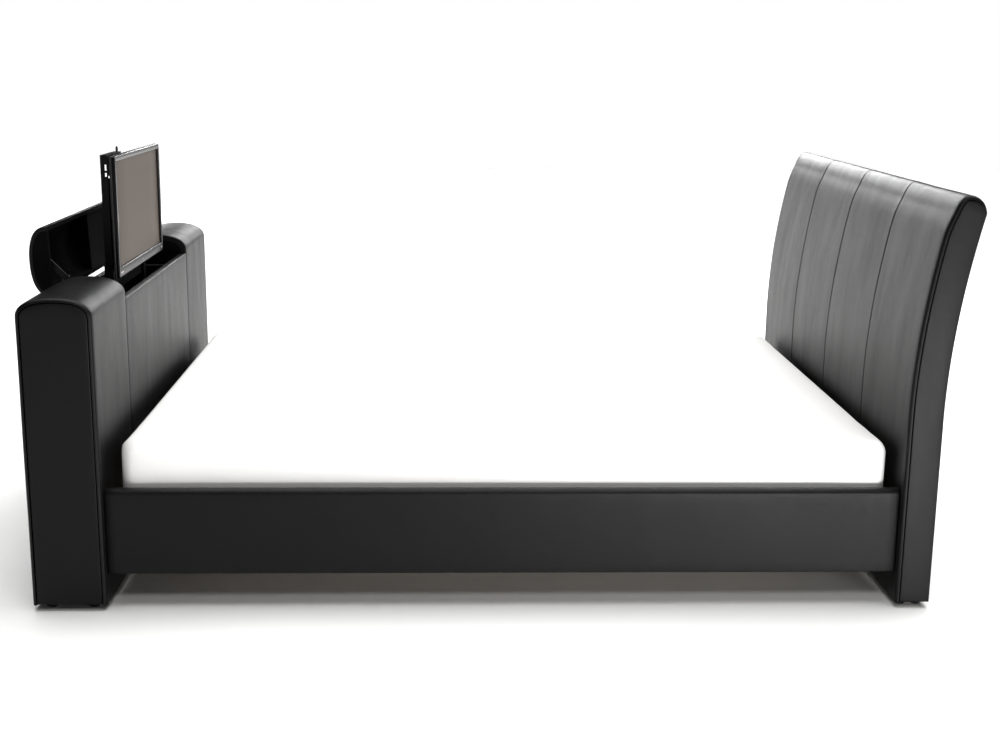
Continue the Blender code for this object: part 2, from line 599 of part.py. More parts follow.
# Mattress: one upright block with round corners and a soft top edge

MATTRESS_X = (0.016, 2.018)
MATTRESS_Y = (0.064, 1.556)
MATTRESS_CORNER = 0.035
MATTRESS_EDGE = 0.030
block = bmesh.new()
add_box(block, MATTRESS_X, MATTRESS_Y, (tape_z[1] + GAP, MATTRESS_TOP))
upright = [e for e in block.edges if abs(e.verts[0].co.z - e.verts[1].co.z) > GAP]
bmesh.ops.bevel(block, geom=upright, offset=MATTRESS_CORNER, segments=4, profile=0.5, affect="EDGES")
rim = [e for e in block.edges if min(v.co.z for v in e.verts) > MATTRESS_TOP - GAP and len(e.link_faces) == 2]
bmesh.ops.bevel(block, geom=rim, offset=MATTRESS_EDGE, segments=3, profile=0.5, affect="EDGES")
keep("mattress", block, COTTON)


# Glides: low plastic domes under the footboard and the headboard

GLIDE_RADIUS = 0.019
GLIDE_FOOT = 0.012
STEM_RADIUS = 0.006
GLIDE_IN = 0.040
FOOT_GLIDES_X = (-0.146, -0.040)
HEAD_GLIDES_X = (INNER_LENGTH + 0.024, INNER_LENGTH + 0.066)
for end, places in (("foot", FOOT_GLIDES_X), ("head", HEAD_GLIDES_X)):
    for number, x in enumerate(places, 1):
        for side, y in (("near", GLIDE_IN), ("far", BED_WIDTH - GLIDE_IN)):
            dome = bmesh.new()
            height = BODY_BOTTOM - GAP
            bmesh.ops.create_cone(
                dome, cap_ends=True, segments=20, radius1=GLIDE_FOOT, radius2=GLIDE_RADIUS, depth=height,
                matrix=Matrix.Translation((x, y, height / 2)))
            glide = keep(f"glide_{end}_{side}_{number}", dome, PLASTIC)
            if end == "foot":
                stem = rod_shape((x, y, height / 2), (x, y, BASE_BOARD_Z[0] - GAP), STEM_RADIUS)
                joined(glide, [keep("cut_stem", stem, PLASTIC)])
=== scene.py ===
"""Sleigh bed with a television lift: the finished surfaces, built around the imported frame.

Metres, +Z up, +X towards the headboard and +Y away from the near side. The sections follow the
order of assembly: studio, footboard, lid, lift, television, headboard, base, mattress.
"""

import json
import math

import bmesh
import bpy
from mathutils import Matrix, Vector, noise

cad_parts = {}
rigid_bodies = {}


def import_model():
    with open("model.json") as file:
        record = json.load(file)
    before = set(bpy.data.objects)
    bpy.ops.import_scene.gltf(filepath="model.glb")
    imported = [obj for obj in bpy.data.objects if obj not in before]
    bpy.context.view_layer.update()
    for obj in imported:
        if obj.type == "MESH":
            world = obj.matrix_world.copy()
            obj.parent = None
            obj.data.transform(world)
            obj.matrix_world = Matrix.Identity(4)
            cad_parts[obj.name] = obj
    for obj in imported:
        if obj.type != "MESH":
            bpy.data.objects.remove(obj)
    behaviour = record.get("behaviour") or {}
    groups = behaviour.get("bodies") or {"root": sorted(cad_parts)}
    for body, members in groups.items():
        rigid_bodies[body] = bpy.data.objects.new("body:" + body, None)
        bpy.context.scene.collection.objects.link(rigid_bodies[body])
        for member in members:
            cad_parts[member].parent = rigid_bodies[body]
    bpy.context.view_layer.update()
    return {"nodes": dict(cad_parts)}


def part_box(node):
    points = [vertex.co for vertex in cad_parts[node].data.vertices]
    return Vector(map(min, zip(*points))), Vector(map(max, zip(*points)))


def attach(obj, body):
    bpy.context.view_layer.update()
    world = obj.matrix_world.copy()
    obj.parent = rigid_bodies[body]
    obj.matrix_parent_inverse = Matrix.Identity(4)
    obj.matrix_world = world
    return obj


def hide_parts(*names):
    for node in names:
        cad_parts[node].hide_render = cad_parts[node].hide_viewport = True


for old in list(bpy.data.objects):
    bpy.data.objects.remove(old)

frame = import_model()
nodes = frame["nodes"]

# --- Studio -----------------------------------------------------------------------------------
# A pale matt floor that runs out to a white horizon under a dark studio ceiling. Three softboxes
# stand behind the bed, two in front of it, and one broad light hangs overhead.

FLOOR_HALF = 14.0
FLOOR_DROP = 0.0005
CAMERA_PLACE = Vector((-0.1043, -4.1723, 1.3772))
CAMERA_YAW = 2.248
CAMERA_PITCH = 12.723
CAMERA_ROLL = 0.642
CAMERA_LENS = 50.27
CAMERA_GAMMA = 0.85
HORIZON_BRIGHT = 0.85
CEILING_DIM = 0.05
HORIZON_HEIGHT = 0.12
SEEN_BRIGHT = 1.0
CEILING_STRENGTH = 4.0
CEILING_ANGLE = 75
CEILING_TILT = (-14, 8)


def linear(text):
    """An sRGB hex colour as linear RGBA."""
    parts = [int(text[at:at + 2], 16) / 255 for at in (1, 3, 5)]
    return (*(p / 12.92 if p <= 0.04045 else ((p + 0.055) / 1.055) ** 2.4 for p in parts), 1.0)


def add(tree, kind, inputs=None, **settings):
    """One node, with its settings, and each input given a value or joined to another's output."""
    made = tree.nodes.new(kind)
    for name, value in settings.items():
        setattr(made, name, value)
    for socket, value in (inputs or {}).items():
        if isinstance(value, bpy.types.NodeSocket):
            tree.links.new(value, made.inputs[socket])
        else:
            made.inputs[socket].default_value = value
    return made


def connect(surface, outputs):
    """Joins outputs to a shader's sockets by name."""
    for socket, output in outputs.items():
        surface.id_data.links.new(output, surface.inputs[socket])


def two_tones(tree, factor, dark, pale):
    """A colour that goes from dark to pale with a factor."""
    mixed = add(tree, "ShaderNodeMix", {"Factor": factor, 6: linear(dark), 7: linear(pale)}, data_type="RGBA")
    return mixed.outputs[2]


def cloud(tree, place, scale, detail, **more):
    """Noise from 0 to 1, with this many lumps to the metre."""
    lumps = add(tree, "ShaderNodeTexNoise", {"Vector": place, "Scale": scale, "Detail": detail, **more})
    return lumps.outputs["Fac"]


def new_object(name, data):
    made = bpy.data.objects.new(name, data)
    bpy.context.scene.collection.objects.link(made)
    return made


camera = new_object("camera", bpy.data.cameras.new("camera"))
camera.data.sensor_width = 36.0
camera.data.lens = CAMERA_LENS
camera.matrix_world = (
    Matrix.Translation(CAMERA_PLACE)
    @ Matrix.Rotation(-math.radians(CAMERA_YAW), 4, "Z")
    @ Matrix.Rotation(math.radians(90 - CAMERA_PITCH), 4, "X")
    @ Matrix.Rotation(math.radians(CAMERA_ROLL), 4, "Z"))
bpy.context.scene.camera = camera
bpy.context.scene.view_settings.view_transform = "Standard"
bpy.context.scene.view_settings.gamma = CAMERA_GAMMA

world = bpy.data.worlds.new("cyclorama")
world.use_nodes = True
world.node_tree.nodes.clear()
bpy.context.scene.world = world
sky = world.node_tree
way = add(sky, "ShaderNodeTexCoord")
height = add(sky, "ShaderNodeSeparateXYZ", {"Vector": way.outputs["Generated"]})
fall = add(sky, "ShaderNodeMapRange", {
    "Value": height.outputs["Z"], "From Min": 0.0, "From Max": HORIZON_HEIGHT,
    "To Min": HORIZON_BRIGHT, "To Max": CEILING_DIM}, interpolation_type="SMOOTHSTEP")
white = linear("#ffffff")
glow = add(sky, "ShaderNodeBackground", {"Color": white, "Strength": fall.outputs["Result"]})
seen = add(sky, "ShaderNodeBackground", {"Color": white, "Strength": SEEN_BRIGHT})
ray = add(sky, "ShaderNodeLightPath")
both = add(sky, "ShaderNodeMixShader", {
    0: ray.outputs["Is Camera Ray"], 1: glow.outputs["Background"], 2: seen.outputs["Background"]})
add(sky, "ShaderNodeOutputWorld", {"Surface": both.outputs["Shader"]})


def lamp(name, place, target, size, watts):
    """A rectangular softbox at a place, turned to a target, out of the camera's sight."""
    data = bpy.data.lights.new(name, "AREA")
    data.shape = "RECTANGLE"
    data.size, data.size_y = size
    data.energy = watts
    made = new_object(name, data)
    made.location = place
    made.visible_camera = False
    made.rotation_euler = (Vector(target) - Vector(place)).to_track_quat("-Z", "Y").to_euler()


lamp("rear_right_softbox", (1.35, 5.2, 2.50), (0.8, 0.0, 0.9), (1.7, 2.2), 110)
lamp("rear_high_softbox", (-0.7, 9.0, 3.0), (0.4, -0.6, 0.9), (2.2, 1.1), 80)
lamp("rear_low_softbox", (-2.5, 9.0, 0.9), (1.0, 0.0, 0.7), (2.4, 1.0), 52)
lamp("right_softbox", (1.35, -2.7, 0.18), (0.95, -0.8, 0.25), (1.5, 0.30), 42)
lamp("front_softbox", (0.4, -4.2, 3.6), (0.1, -0.8, 0.3), (2.6, 1.0), 60)
ceiling = new_object("ceiling_light", bpy.data.lights.new("ceiling_light", "SUN"))
ceiling.data.energy = CEILING_STRENGTH
ceiling.data.angle = math.radians(CEILING_ANGLE)
ceiling.rotation_euler = (*map(math.radians, CEILING_TILT), 0)

floor_mesh = bpy.data.meshes.new("studio_floor")
floor_mesh.from_pydata([(x * FLOOR_HALF, y * FLOOR_HALF, -FLOOR_DROP)
                        for x, y in ((-1, -1), (1, -1), (1, 1), (-1, 1))], [], [(0, 1, 2, 3)])
floor = new_object("studio_floor", floor_mesh)
paint = bpy.data.materials.new("matt_floor_paint")
paint.use_nodes = True
tree = paint.node_tree
where = add(tree, "ShaderNodeTexCoord")
patches = cloud(tree, where.outputs["Object"], 0.8, 2.0)
shader = tree.nodes["Principled BSDF"]
connect(shader, {"Base Color": two_tones(tree, patches, "#f3f3f2", "#f7f7f6")})
shader.inputs["Roughness"].default_value = 0.85
floor_mesh.materials.append(paint)

# --- Footboard shoulders ----------------------------------------------------------------------
# Each is a bent board under thin foam, covered in black faux leather: polyurethane on a knit,
# embossed with a fine pebble grain. The cover is pulled round the outer edge and topstitched.

ARCH_RISE = 0.048
ARCH_POWER = 2.3
ARCH_STEPS = 40
FACE_STEPS = 18
SHOULDER_WALL = 0.018
EDGE_ROLL = 0.009
SEAM_ROLL = 0.0035
SEAM_HALF = 0.0013
SEAM_REACH = (0.0012, 0.0030, 0.006, 0.012)
ROLL_STEPS = 5
ROLL_RUN = 0.002
WRAP_DEPTH = 0.0098
WRAP_START = 0.005
WRAP_INNER = 0.0186
WRAP_OUTER = 0.0188
SKIN_DEPTH = 0.002
GIVE_SHARE = 0.7
STITCH_IN = 0.0035
STITCH_LIFT = -0.0002
COVER_CROWN = 0.0014
UNEVENNESS = 0.0009
UNEVEN_SCALE = (7.0, 7.0, 4.0)
GRAIN = 0.0022
STREAK_WIDE = 0.060
STREAK_LONG = 0.360


def shader_of(name, roughness, metallic=0.0, ior=1.5):
    """A new material with its shader, its tree and its object coordinates."""
    made = bpy.data.materials.new(name)
    made.use_nodes = True
    surface = made.node_tree.nodes["Principled BSDF"]
    surface.inputs["Roughness"].default_value = roughness
    surface.inputs["Metallic"].default_value = metallic
    surface.inputs["IOR"].default_value = ior
    place = add(made.node_tree, "ShaderNodeTexCoord").outputs["Object"]
    return made, surface, made.node_tree, place


def bump(tree, height, strength, distance, **more):
    """A normal tilted by a height that is distance metres deep."""
    raised = add(tree, "ShaderNodeBump", {
        "Height": height, "Strength": strength, "Distance": distance, **more})
    return raised.outputs["Normal"]


def faux_leather():
    """Embossed polyurethane: near black, satin, its pebble grain softened where it is stretched."""
    made, surface, tree, place = shader_of("embossed_faux_leather", 0.40)
    surface.inputs["Specular IOR Level"].default_value = 0.26
    mottle = cloud(tree, place, 7.0, 3.0)
    pebbles = add(tree, "ShaderNodeTexVoronoi", {"Vector": place, "Scale": 1 / GRAIN, "Randomness": 1.0},
                  feature="DISTANCE_TO_EDGE")
    crease = add(tree, "ShaderNodeMapRange", {"Value": pebbles.outputs["Distance"], "From Max": 0.22})
    stretched = add(tree, "ShaderNodeMapping", {
        "Vector": place, "Scale": (1 / STREAK_WIDE, 1 / STREAK_WIDE, 1 / STREAK_LONG)})
    streaks = cloud(tree, stretched.outputs["Vector"], 1.0, 4.0, Roughness=0.62)
    pull = bump(tree, streaks, 0.24, 0.0007)
    grain = bump(tree, crease.outputs["Result"], 0.60, 0.00025, Normal=pull)
    worn = add(tree, "ShaderNodeMapRange", {
        "Value": streaks, "From Min": 0.3, "From Max": 0.7, "To Min": 0.31, "To Max": 0.40})
    connect(surface, {
        "Base Color": two_tones(tree, mottle, "#060607", "#0d0d0e"), "Normal": grain,
        "Roughness": worn.outputs["Result"]})
    return made


def lining(name, dark, pale):
    """Needled black lining cloth: matt, with short fibres lying every way."""
    made, surface, tree, place = shader_of(name, 0.92)
    surface.inputs["Specular IOR Level"].default_value = 0.12
    fibres = cloud(tree, place, 420.0, 5.0, Distortion=1.2)
    connect(surface, {
        "Base Color": two_tones(tree, fibres, dark, pale), "Normal": bump(tree, fibres, 0.4, 0.0005)})
    return made


def thread():
    """Bonded polyester sewing thread: black, a little lighter and shinier than the cover."""
    made, surface, tree, place = shader_of("bonded_thread", 0.38)
    plies = add(tree, "ShaderNodeTexWave", {"Vector": place, "Scale": 900.0, "Distortion": 0.5})
    connect(surface, {"Base Color": two_tones(tree, plies.outputs["Fac"], "#1b1b1c", "#3a3a3c")})
    return made


LEATHER, THREAD = faux_leather(), thread()
LINING = lining("needled_lining", "#030303", "#0a0a0b")

foot_low, foot_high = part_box("footboard_end_panel_near")
near_y, far_y = foot_low.y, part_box("footboard_end_panel_far")[1].y
foot_middle = (foot_low.x + foot_high.x) / 2
foot_half = (foot_high.x - foot_low.x) / 2
spring = foot_high.z - ARCH_RISE


def arch_path(inset, lift=0.0, bottom=foot_low.z):
    """Up the rear face, over the round top and down the front face, set in from the cover."""
    half, rise = foot_half - inset, ARCH_RISE - inset
    heights = [bottom + lift + (spring - bottom - lift) * step / FACE_STEPS for step in range(FACE_STEPS)]
    path = [(foot_middle - half, z) for z in heights]
    for step in range(ARCH_STEPS + 1):
        across = math.cos(math.pi * step / ARCH_STEPS)
        up = (1 - abs(across) ** ARCH_POWER) ** (1 / ARCH_POWER)
        path.append((foot_middle - half * across, spring + rise * up))
    return path + [(foot_middle + half, z) for z in reversed(heights)]


def unevenness(x, y, z):
    """How far the foam lets the cover rise or sink: a slow, fixed variation."""
    return UNEVENNESS * noise.noise(Vector((x, y, z)) * Vector(UNEVEN_SCALE))


def piece_of(name, shape, *finishes):
    """A finished object at the origin from a bmesh, its faces turned outwards."""
    bmesh.ops.remove_doubles(shape, verts=shape.verts, dist=1e-6)
    bmesh.ops.recalc_face_normals(shape, faces=shape.faces)
    mesh = bpy.data.meshes.new(name)
    shape.to_mesh(mesh)
    shape.free()
    mesh.shade_smooth()
    mesh.set_sharp_from_angle(angle=math.radians(50))
    for finish in finishes:
        mesh.materials.append(finish)
    return new_object(name, mesh)


def loft(rings, ends=True):
    """Quads between closed rings of points; faces over both ends, or the last ring joins the first."""
    shape = bmesh.new()
    rows = [[shape.verts.new(point) for point in ring] for ring in rings]
    for first, second in zip(rows, rows[1:] if ends else rows[1:] + rows[:1]):
        for at in range(len(first)):
            after = (at + 1) % len(first)
            shape.faces.new((first[at], first[after], second[after], second[at]))
    if ends:
        shape.faces.new(rows[0][::-1])
        shape.faces.new(rows[-1])
    return shape


def rolled_section(y0, y1, wall, rolls, crown, wraps=(False, False), spans=30, seams=(), seam_depth=0.0):
    """A closed section of (inset, y): round one edge, along the crowned cover, round the other."""
    line = []
    for sign, start, roll, wrap in ((1, y0, rolls[0], wraps[0]), (-1, y1, rolls[1], wraps[1])):
        if wrap:
            edge = [(wall, start + sign * WRAP_OUTER), (WRAP_DEPTH, start + sign * WRAP_INNER),
                    (WRAP_DEPTH, start + sign * WRAP_START)]
        else:
            edge = [(wall, start), (roll + ROLL_RUN, start)]
        for step in range(ROLL_STEPS + 1):
            turn = math.pi / 2 * step / ROLL_STEPS
            edge.append((roll * (1 - math.sin(turn)), start + sign * roll * (1 - math.cos(turn))))
        line.append(edge)
    first, last = line[0][-1][1], line[1][-1][1]
    places = {first + (last - first) * step / spans for step in range(1, spans)}
    for seam in seams:
        places |= {seam, *(seam + reach for reach in SEAM_REACH), *(seam - reach for reach in SEAM_REACH)}
    middle = []
    for y in sorted(places):
        part = (y - first) / (last - first) * 2 - 1
        inset = -crown * (1 - part ** 4)
        inset += sum(seam_depth * math.exp(-abs(y - seam) / SEAM_HALF) for seam in seams)
        middle.append((inset, y))
    return line[0] + middle + line[1][::-1]


def covered(name, path, section, finishes, depth_of_skin=None, turn=None):
    """A cover whose closed section is carried along a path; faces that deep take finish 1."""
    columns = [(path(inset), inset, y) for inset, y in section]
    rings = []
    for at in range(len(columns[0][0])):
        ring = []
        for column, inset, y in columns:
            x, z = column[at]
            give = unevenness(x, y, z) * GIVE_SHARE if inset < SKIN_DEPTH else 0.0
            ring.append(Vector((x + give, y, z + give)))
        rings.append(ring)
    shape = loft(rings)
    if turn:
        bmesh.ops.transform(shape, matrix=turn, verts=shape.verts)
    made = piece_of(name, shape, *finishes)
    if depth_of_skin is not None:
        count = len(section)
        for face in made.data.polygons[:(len(rings) - 1) * count]:
            at = face.index % count
            if min(section[at][0], section[(at + 1) % count][0]) >= depth_of_skin:
                face.material_index = 1
    return made


def fit(piece, body, stands_for=()):
    """Puts a piece on its body and hides the imported parts that it stands for."""
    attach(piece, body)
    if stands_for:
        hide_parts(*stands_for)
    return piece


def geometry_tree(name, inputs, output):
    """An empty Geometry Nodes tree, and the outputs of its input node."""
    made = bpy.data.node_groups.new(name, "GeometryNodeTree")
    for socket, kind in inputs.items():
        made.interface.new_socket(socket, in_out="INPUT", socket_type="NodeSocket" + kind)
    made.interface.new_socket(output, in_out="OUTPUT", socket_type="NodeSocketGeometry")
    return made, add(made, "NodeGroupInput").outputs


def on_points(tree, points, instance, **more):
    laid = add(tree, "GeometryNodeInstanceOnPoints", {"Points": points, "Instance": instance, **more})
    return laid.outputs["Instances"]


def realised(tree, instances):
    return add(tree, "GeometryNodeRealizeInstances", {"Geometry": instances}).outputs["Geometry"]


def in_material(tree, geometry, material):
    painted = add(tree, "GeometryNodeSetMaterial", {"Geometry": geometry, "Material": material})
    return painted.outputs["Geometry"]


def stitch_tree():
    """Geometry Nodes: stitches of a given length, a pitch apart, along a line."""
    made, given = geometry_tree("stitches", {
        "Line": "Geometry", "Pitch": "Float", "Stitch Length": "Float", "Thread Width": "Float",
        "Thread": "Material"}, "Stitches")
    line = add(made, "GeometryNodeMeshToCurve", {"Mesh": given["Line"]})
    spaced = add(made, "GeometryNodeResampleCurve", {
        "Curve": line.outputs["Curve"], "Length": given["Pitch"]}, mode="LENGTH")
    stitch = add(made, "GeometryNodeMeshUVSphere", {"Segments": 6, "Rings": 4, "Radius": 0.5})
    tangent = add(made, "GeometryNodeInputTangent")
    turn = add(made, "FunctionNodeAlignRotationToVector", {"Vector": tangent.outputs["Tangent"]}, axis="X")
    size = add(made, "ShaderNodeCombineXYZ", {
        "X": given["Stitch Length"], "Y": given["Thread Width"], "Z": given["Thread Width"]})
    laid = on_points(made, spaced.outputs["Curve"], stitch.outputs["Mesh"],
                     Rotation=turn.outputs["Rotation"], Scale=size.outputs["Vector"])
    add(made, "NodeGroupOutput", {"Stitches": in_material(made, realised(made, laid), given["Thread"])})
    return made


def made_by(tree, name, points, edges, values):
    """The plain mesh that a tree makes from points and edges, as a new object."""
    mesh = bpy.data.meshes.new(name + "_guide")
    mesh.from_pydata(points, edges, [])
    guide = new_object(name + "_guide", mesh)
    change = guide.modifiers.new(tree.name, "NODES")
    change.node_group = tree
    for item in tree.interface.items_tree:
        if item.in_out == "INPUT" and item.name in values:
            change[item.identifier] = values[item.name]
    ready = guide.evaluated_get(bpy.context.evaluated_depsgraph_get())
    made = bpy.data.meshes.new_from_object(ready)
    bpy.data.objects.remove(guide)
    made.name = name
    made.shade_smooth()
    return new_object(name, made)


STITCHES = stitch_tree()
STITCH_PITCH = 0.0062
STITCH_LENGTH = 0.0046
THREAD_WIDTH = 0.0013


def sew(name, lines, body):
    """One piece of stitching along several lines of points."""
    points, edges = [], []
    for line in lines:
        edges += [(len(points) + at, len(points) + at + 1) for at in range(len(line) - 1)]
        points += line
    made = made_by(STITCHES, name, points, edges, {
        "Pitch": STITCH_PITCH, "Stitch Length": STITCH_LENGTH, "Thread Width": THREAD_WIDTH,
        "Thread": THREAD})
    return fit(made, body)


shoulder_section = rolled_section(
    near_y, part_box("footboard_shoulder_near")[1].y, SHOULDER_WALL, (EDGE_ROLL, SEAM_ROLL), COVER_CROWN,
    wraps=(True, False))
for side, mirror in (("near", 1), ("far", -1)):
    section = [(inset, mirror * y) for inset, y in shoulder_section]
    shoulder = covered(f"shoulder_cover_{side}", arch_path, section, (LEATHER, LINING),
                       depth_of_skin=SHOULDER_WALL)
    fit(shoulder, "bed_frame", [f"footboard_shoulder_{side}"])
    topstitch = [(x, mirror * (near_y + EDGE_ROLL + STITCH_IN), z) for x, z in arch_path(STITCH_LIFT)]
    sew(f"shoulder_topstitch_{side}", [topstitch], "bed_frame")

# --- Footboard end panels ---------------------------------------------------------------------
# A D-shaped board under 8 mm of foam, covered separately and set into the shoulder's rolled
# edge, so a narrow dark seam runs round it.

PANEL_SET_IN = 0.0110
PANEL_ROLL = 0.0035
PANEL_CROWN = 0.0016
CROWN_REACH = 0.030
CROWN_RINGS = (0.006, 0.011, 0.018, 0.026, 0.031)
PANEL_LIFT = 0.002


def set_in_panel(name, ring_at, outer_y, inner_y, finishes):
    """A crowned panel: rings from its back edge, round its rim and in over its face."""
    out = 1 if outer_y > inner_y else -1
    rings = [[(x, inner_y, z) for x, z in ring_at(0)]]
    for step in range(ROLL_STEPS + 1):
        turn = math.pi / 2 * step / ROLL_STEPS
        y = outer_y - out * PANEL_ROLL * (1 - math.sin(turn))
        rings.append([(x, y, z) for x, z in ring_at(PANEL_ROLL * (1 - math.cos(turn)))])
    for inward in CROWN_RINGS:
        rise = PANEL_CROWN * math.sin(math.pi / 2 * min(inward / CROWN_REACH, 1))
        rings.append([(x, outer_y + out * rise, z) for x, z in ring_at(inward)])
    return piece_of(name, loft(rings), *finishes)


for side, outer, inward in (("near", near_y, SHOULDER_WALL), ("far", far_y, -SHOULDER_WALL)):
    panel = set_in_panel(f"end_panel_cover_{side}",
                         lambda e: arch_path(PANEL_SET_IN + e, lift=PANEL_LIFT + e),
                         outer, outer + inward, (LEATHER,))
    fit(panel, "bed_frame", [f"footboard_end_panel_{side}"])

# --- Footboard front and rear panels ----------------------------------------------------------
# Flat boards between the shoulders, wrapped over their top edge; the cover's ends are turned in,
# which leaves the upright seams beside the shoulders.

PANEL_EDGE = 0.0045
PANEL_CUTS = (1, 36, 30)


def soft_box(name, low, high, edge, finishes, cuts=(1, 1, 1), crown=0.0, uneven=True, shape=None):
    """A box with rounded edges, crowned and slightly uneven: a new piece, or more of a shape."""
    block = bmesh.new()
    bmesh.ops.create_cube(block, size=1)
    for axis, count in enumerate(cuts):
        along = [e for e in block.edges if abs((e.verts[0].co - e.verts[1].co)[axis]) > 0.9]
        if count > 1:
            bmesh.ops.subdivide_edges(block, edges=along, cuts=count - 1, use_grid_fill=True)
    middle, size = (low + high) / 2, high - low
    for vert in block.verts:
        at = vert.co.copy()
        vert.co = Vector(middle[axis] + at[axis] * size[axis] for axis in range(3))
        on = [axis for axis in range(3) if abs(at[axis]) > 0.499]
        if len(on) == 1 and (crown or uneven):
            axis = on[0]
            others = [1 - abs(2 * at[other]) ** 4 for other in range(3) if other != axis]
            give = crown * others[0] * others[1] + (unevenness(*vert.co) * min(others) if uneven else 0.0)
            vert.co[axis] += math.copysign(give, at[axis])
    sharp = [e for e in block.edges if e.calc_face_angle(0.0) > 1.0]
    bmesh.ops.bevel(block, geom=sharp, offset=edge, segments=4, profile=0.5, affect="EDGES")
    if shape is None:
        return piece_of(name, block, *finishes)
    mesh = bpy.data.meshes.new("part")
    block.to_mesh(mesh)
    block.free()
    shape.from_mesh(mesh)
    bpy.data.meshes.remove(mesh)
    return None


for which in ("front", "rear"):
    low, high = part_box(f"footboard_{which}_panel")
    panel = soft_box(f"{which}_panel_cover", low, high, PANEL_EDGE, (LEATHER,), cuts=PANEL_CUTS, crown=0.0010)
    fit(panel, "bed_frame", [f"footboard_{which}_panel"])

# --- Footboard carcass ------------------------------------------------------------------------
# Lined chipboard inside the box: the base board, the shoulders' inner boards, and a steel cross
# rail. Their cut faces are square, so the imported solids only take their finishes.


def powder_coat():
    """Powder-coated steel: black, satin, with the fine orange peel of a baked coat."""
    made, surface, tree, place = shader_of("powder_coated_steel", 0.42)
    surface.inputs["Specular IOR Level"].default_value = 0.22
    peel = cloud(tree, place, 900.0, 2.0)
    rubbed = cloud(tree, place, 26.0, 6.0, Roughness=0.7)
    worn = add(tree, "ShaderNodeMapRange", {
        "Value": rubbed, "From Min": 0.3, "From Max": 0.7, "To Min": 0.36, "To Max": 0.50})
    connect(surface, {
        "Base Color": two_tones(tree, rubbed, "#050506", "#0e0e0f"),
        "Normal": bump(tree, peel, 0.25, 0.00015), "Roughness": worn.outputs["Result"]})
    return made


POWDER_COAT = powder_coat()


def give_finish(finish, *names):
    """CAD nodes keep their shape and take a new finish."""
    for name in names:
        nodes[name].data.materials.clear()
        nodes[name].data.materials.append(finish)


give_finish(LINING, "footboard_base_board", "footboard_inner_board_near", "footboard_inner_board_far")
give_finish(POWDER_COAT, "well_cross_rail")

# --- Lid --------------------------------------------------------------------------------------
# A hollow, round-topped board covered like the shoulders and lined black inside, with a closed
# board at each end and a rib. It is drawn shut and then turned open about its hinge line.

LID_WALL = 0.010
LID_ROLL = 0.004
LID_CROWN = 0.0008
LID_STITCH_IN = 0.003
LID_OPEN = 92.0
HINGE_OUT = 0.002
HINGE_UP = 0.0005
LID_UP = 0.0033
hinge_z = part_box("footboard_front_panel")[1].z + HINGE_UP
hinge_x = foot_low.x - HINGE_OUT
lid_bottom = hinge_z + LID_UP
lid_turn = (Matrix.Translation((hinge_x, 0, hinge_z)) @ Matrix.Rotation(-math.radians(LID_OPEN), 4, "Y")
            @ Matrix.Translation((-hinge_x, 0, -hinge_z)))
lid_low, lid_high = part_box("lid_shell")


def lid_path(inset):
    return arch_path(inset, bottom=lid_bottom)


lid_section = rolled_section(lid_low.y, lid_high.y, LID_WALL, (LID_ROLL, LID_ROLL), LID_CROWN, spans=48)
lid = covered("lid_cover", lid_path, lid_section, (LEATHER, LINING), depth_of_skin=LID_WALL, turn=lid_turn)
for rim in lid.data.polygons[-2:]:
    rim.material_index = 1
fit(lid, "lid", ["lid_shell"])
lid_stitches = []
for y in (lid_low.y + LID_ROLL + LID_STITCH_IN, lid_high.y - LID_ROLL - LID_STITCH_IN):
    lid_stitches.append([lid_turn @ Vector((x, y, z)) for x, z in lid_path(STITCH_LIFT)])
sew("lid_topstitch", lid_stitches, "lid")
give_finish(LINING, "lid_rib", "lid_end_near", "lid_end_far")

# --- Lid hinges and stays ---------------------------------------------------------------------
# Two stamped and zinc-plated hinges, each screwed on with four domed screws, and two flat
# powder-coated stays that hang from pins inside the lid's ends.

SCREW_RADIUS = 0.0030
SCREW_IN = 0.012
SCREW_UP = (0.010, 0.026)
SCREW_SUNK = 0.0022


def zinc():
    """Bright zinc plate: a pale metal with the cloudy, slightly blue look of passivation."""
    made, surface, tree, place = shader_of("zinc_plated_steel", 0.32, metallic=1.0)
    bloom = cloud(tree, place, 60.0, 5.0)
    dull = add(tree, "ShaderNodeMapRange", {"Value": bloom, "To Min": 0.24, "To Max": 0.44})
    connect(surface, {
        "Base Color": two_tones(tree, bloom, "#8d8f93", "#b9bbbe"), "Roughness": dull.outputs["Result"]})
    return made


def screw_tree():
    """Geometry Nodes: a low domed screw head on each point, turned one way; its driver recess is two dark
    raised bars, painted shade.
    """
    made, given = geometry_tree("screw_heads", {
        "Places": "Geometry", "Radius": "Float", "Turn": "Rotation", "Plate": "Material",
        "Recess Shadow": "Material"}, "Screws")
    dome = add(made, "GeometryNodeMeshUVSphere", {"Segments": 14, "Rings": 6, "Radius": 1.0})
    flat = add(made, "GeometryNodeTransform", {"Geometry": dome.outputs["Mesh"], "Scale": (1.0, 1.0, 0.45)})
    parts = [in_material(made, flat.outputs["Geometry"], given["Plate"])]
    # The driver recess: two bars raised a little on the dome in a dark material, painted shade in place of a
    # hollow.
    for size in ((1.05, 0.26, 0.20), (0.26, 1.05, 0.20)):
        bar = add(made, "GeometryNodeMeshCube", {"Size": size})
        sunk = add(made, "GeometryNodeTransform", {
            "Geometry": bar.outputs["Mesh"], "Translation": (0, 0, 0.37)})
        parts.append(in_material(made, sunk.outputs["Geometry"], given["Recess Shadow"]))
    head = add(made, "GeometryNodeJoinGeometry")
    for part in parts:
        made.links.new(part, head.inputs["Geometry"])
    size = add(made, "ShaderNodeCombineXYZ", {
        "X": given["Radius"], "Y": given["Radius"], "Z": given["Radius"]})
    driven = on_points(made, given["Places"], head.outputs["Geometry"], Rotation=given["Turn"],
                       Scale=size.outputs["Vector"])
    add(made, "NodeGroupOutput", {"Screws": realised(made, driven)})
    return made


ZINC = zinc()
SCREWS = screw_tree()
FACING_REAR = Matrix.Rotation(-math.pi / 2, 4, "Y").to_euler()


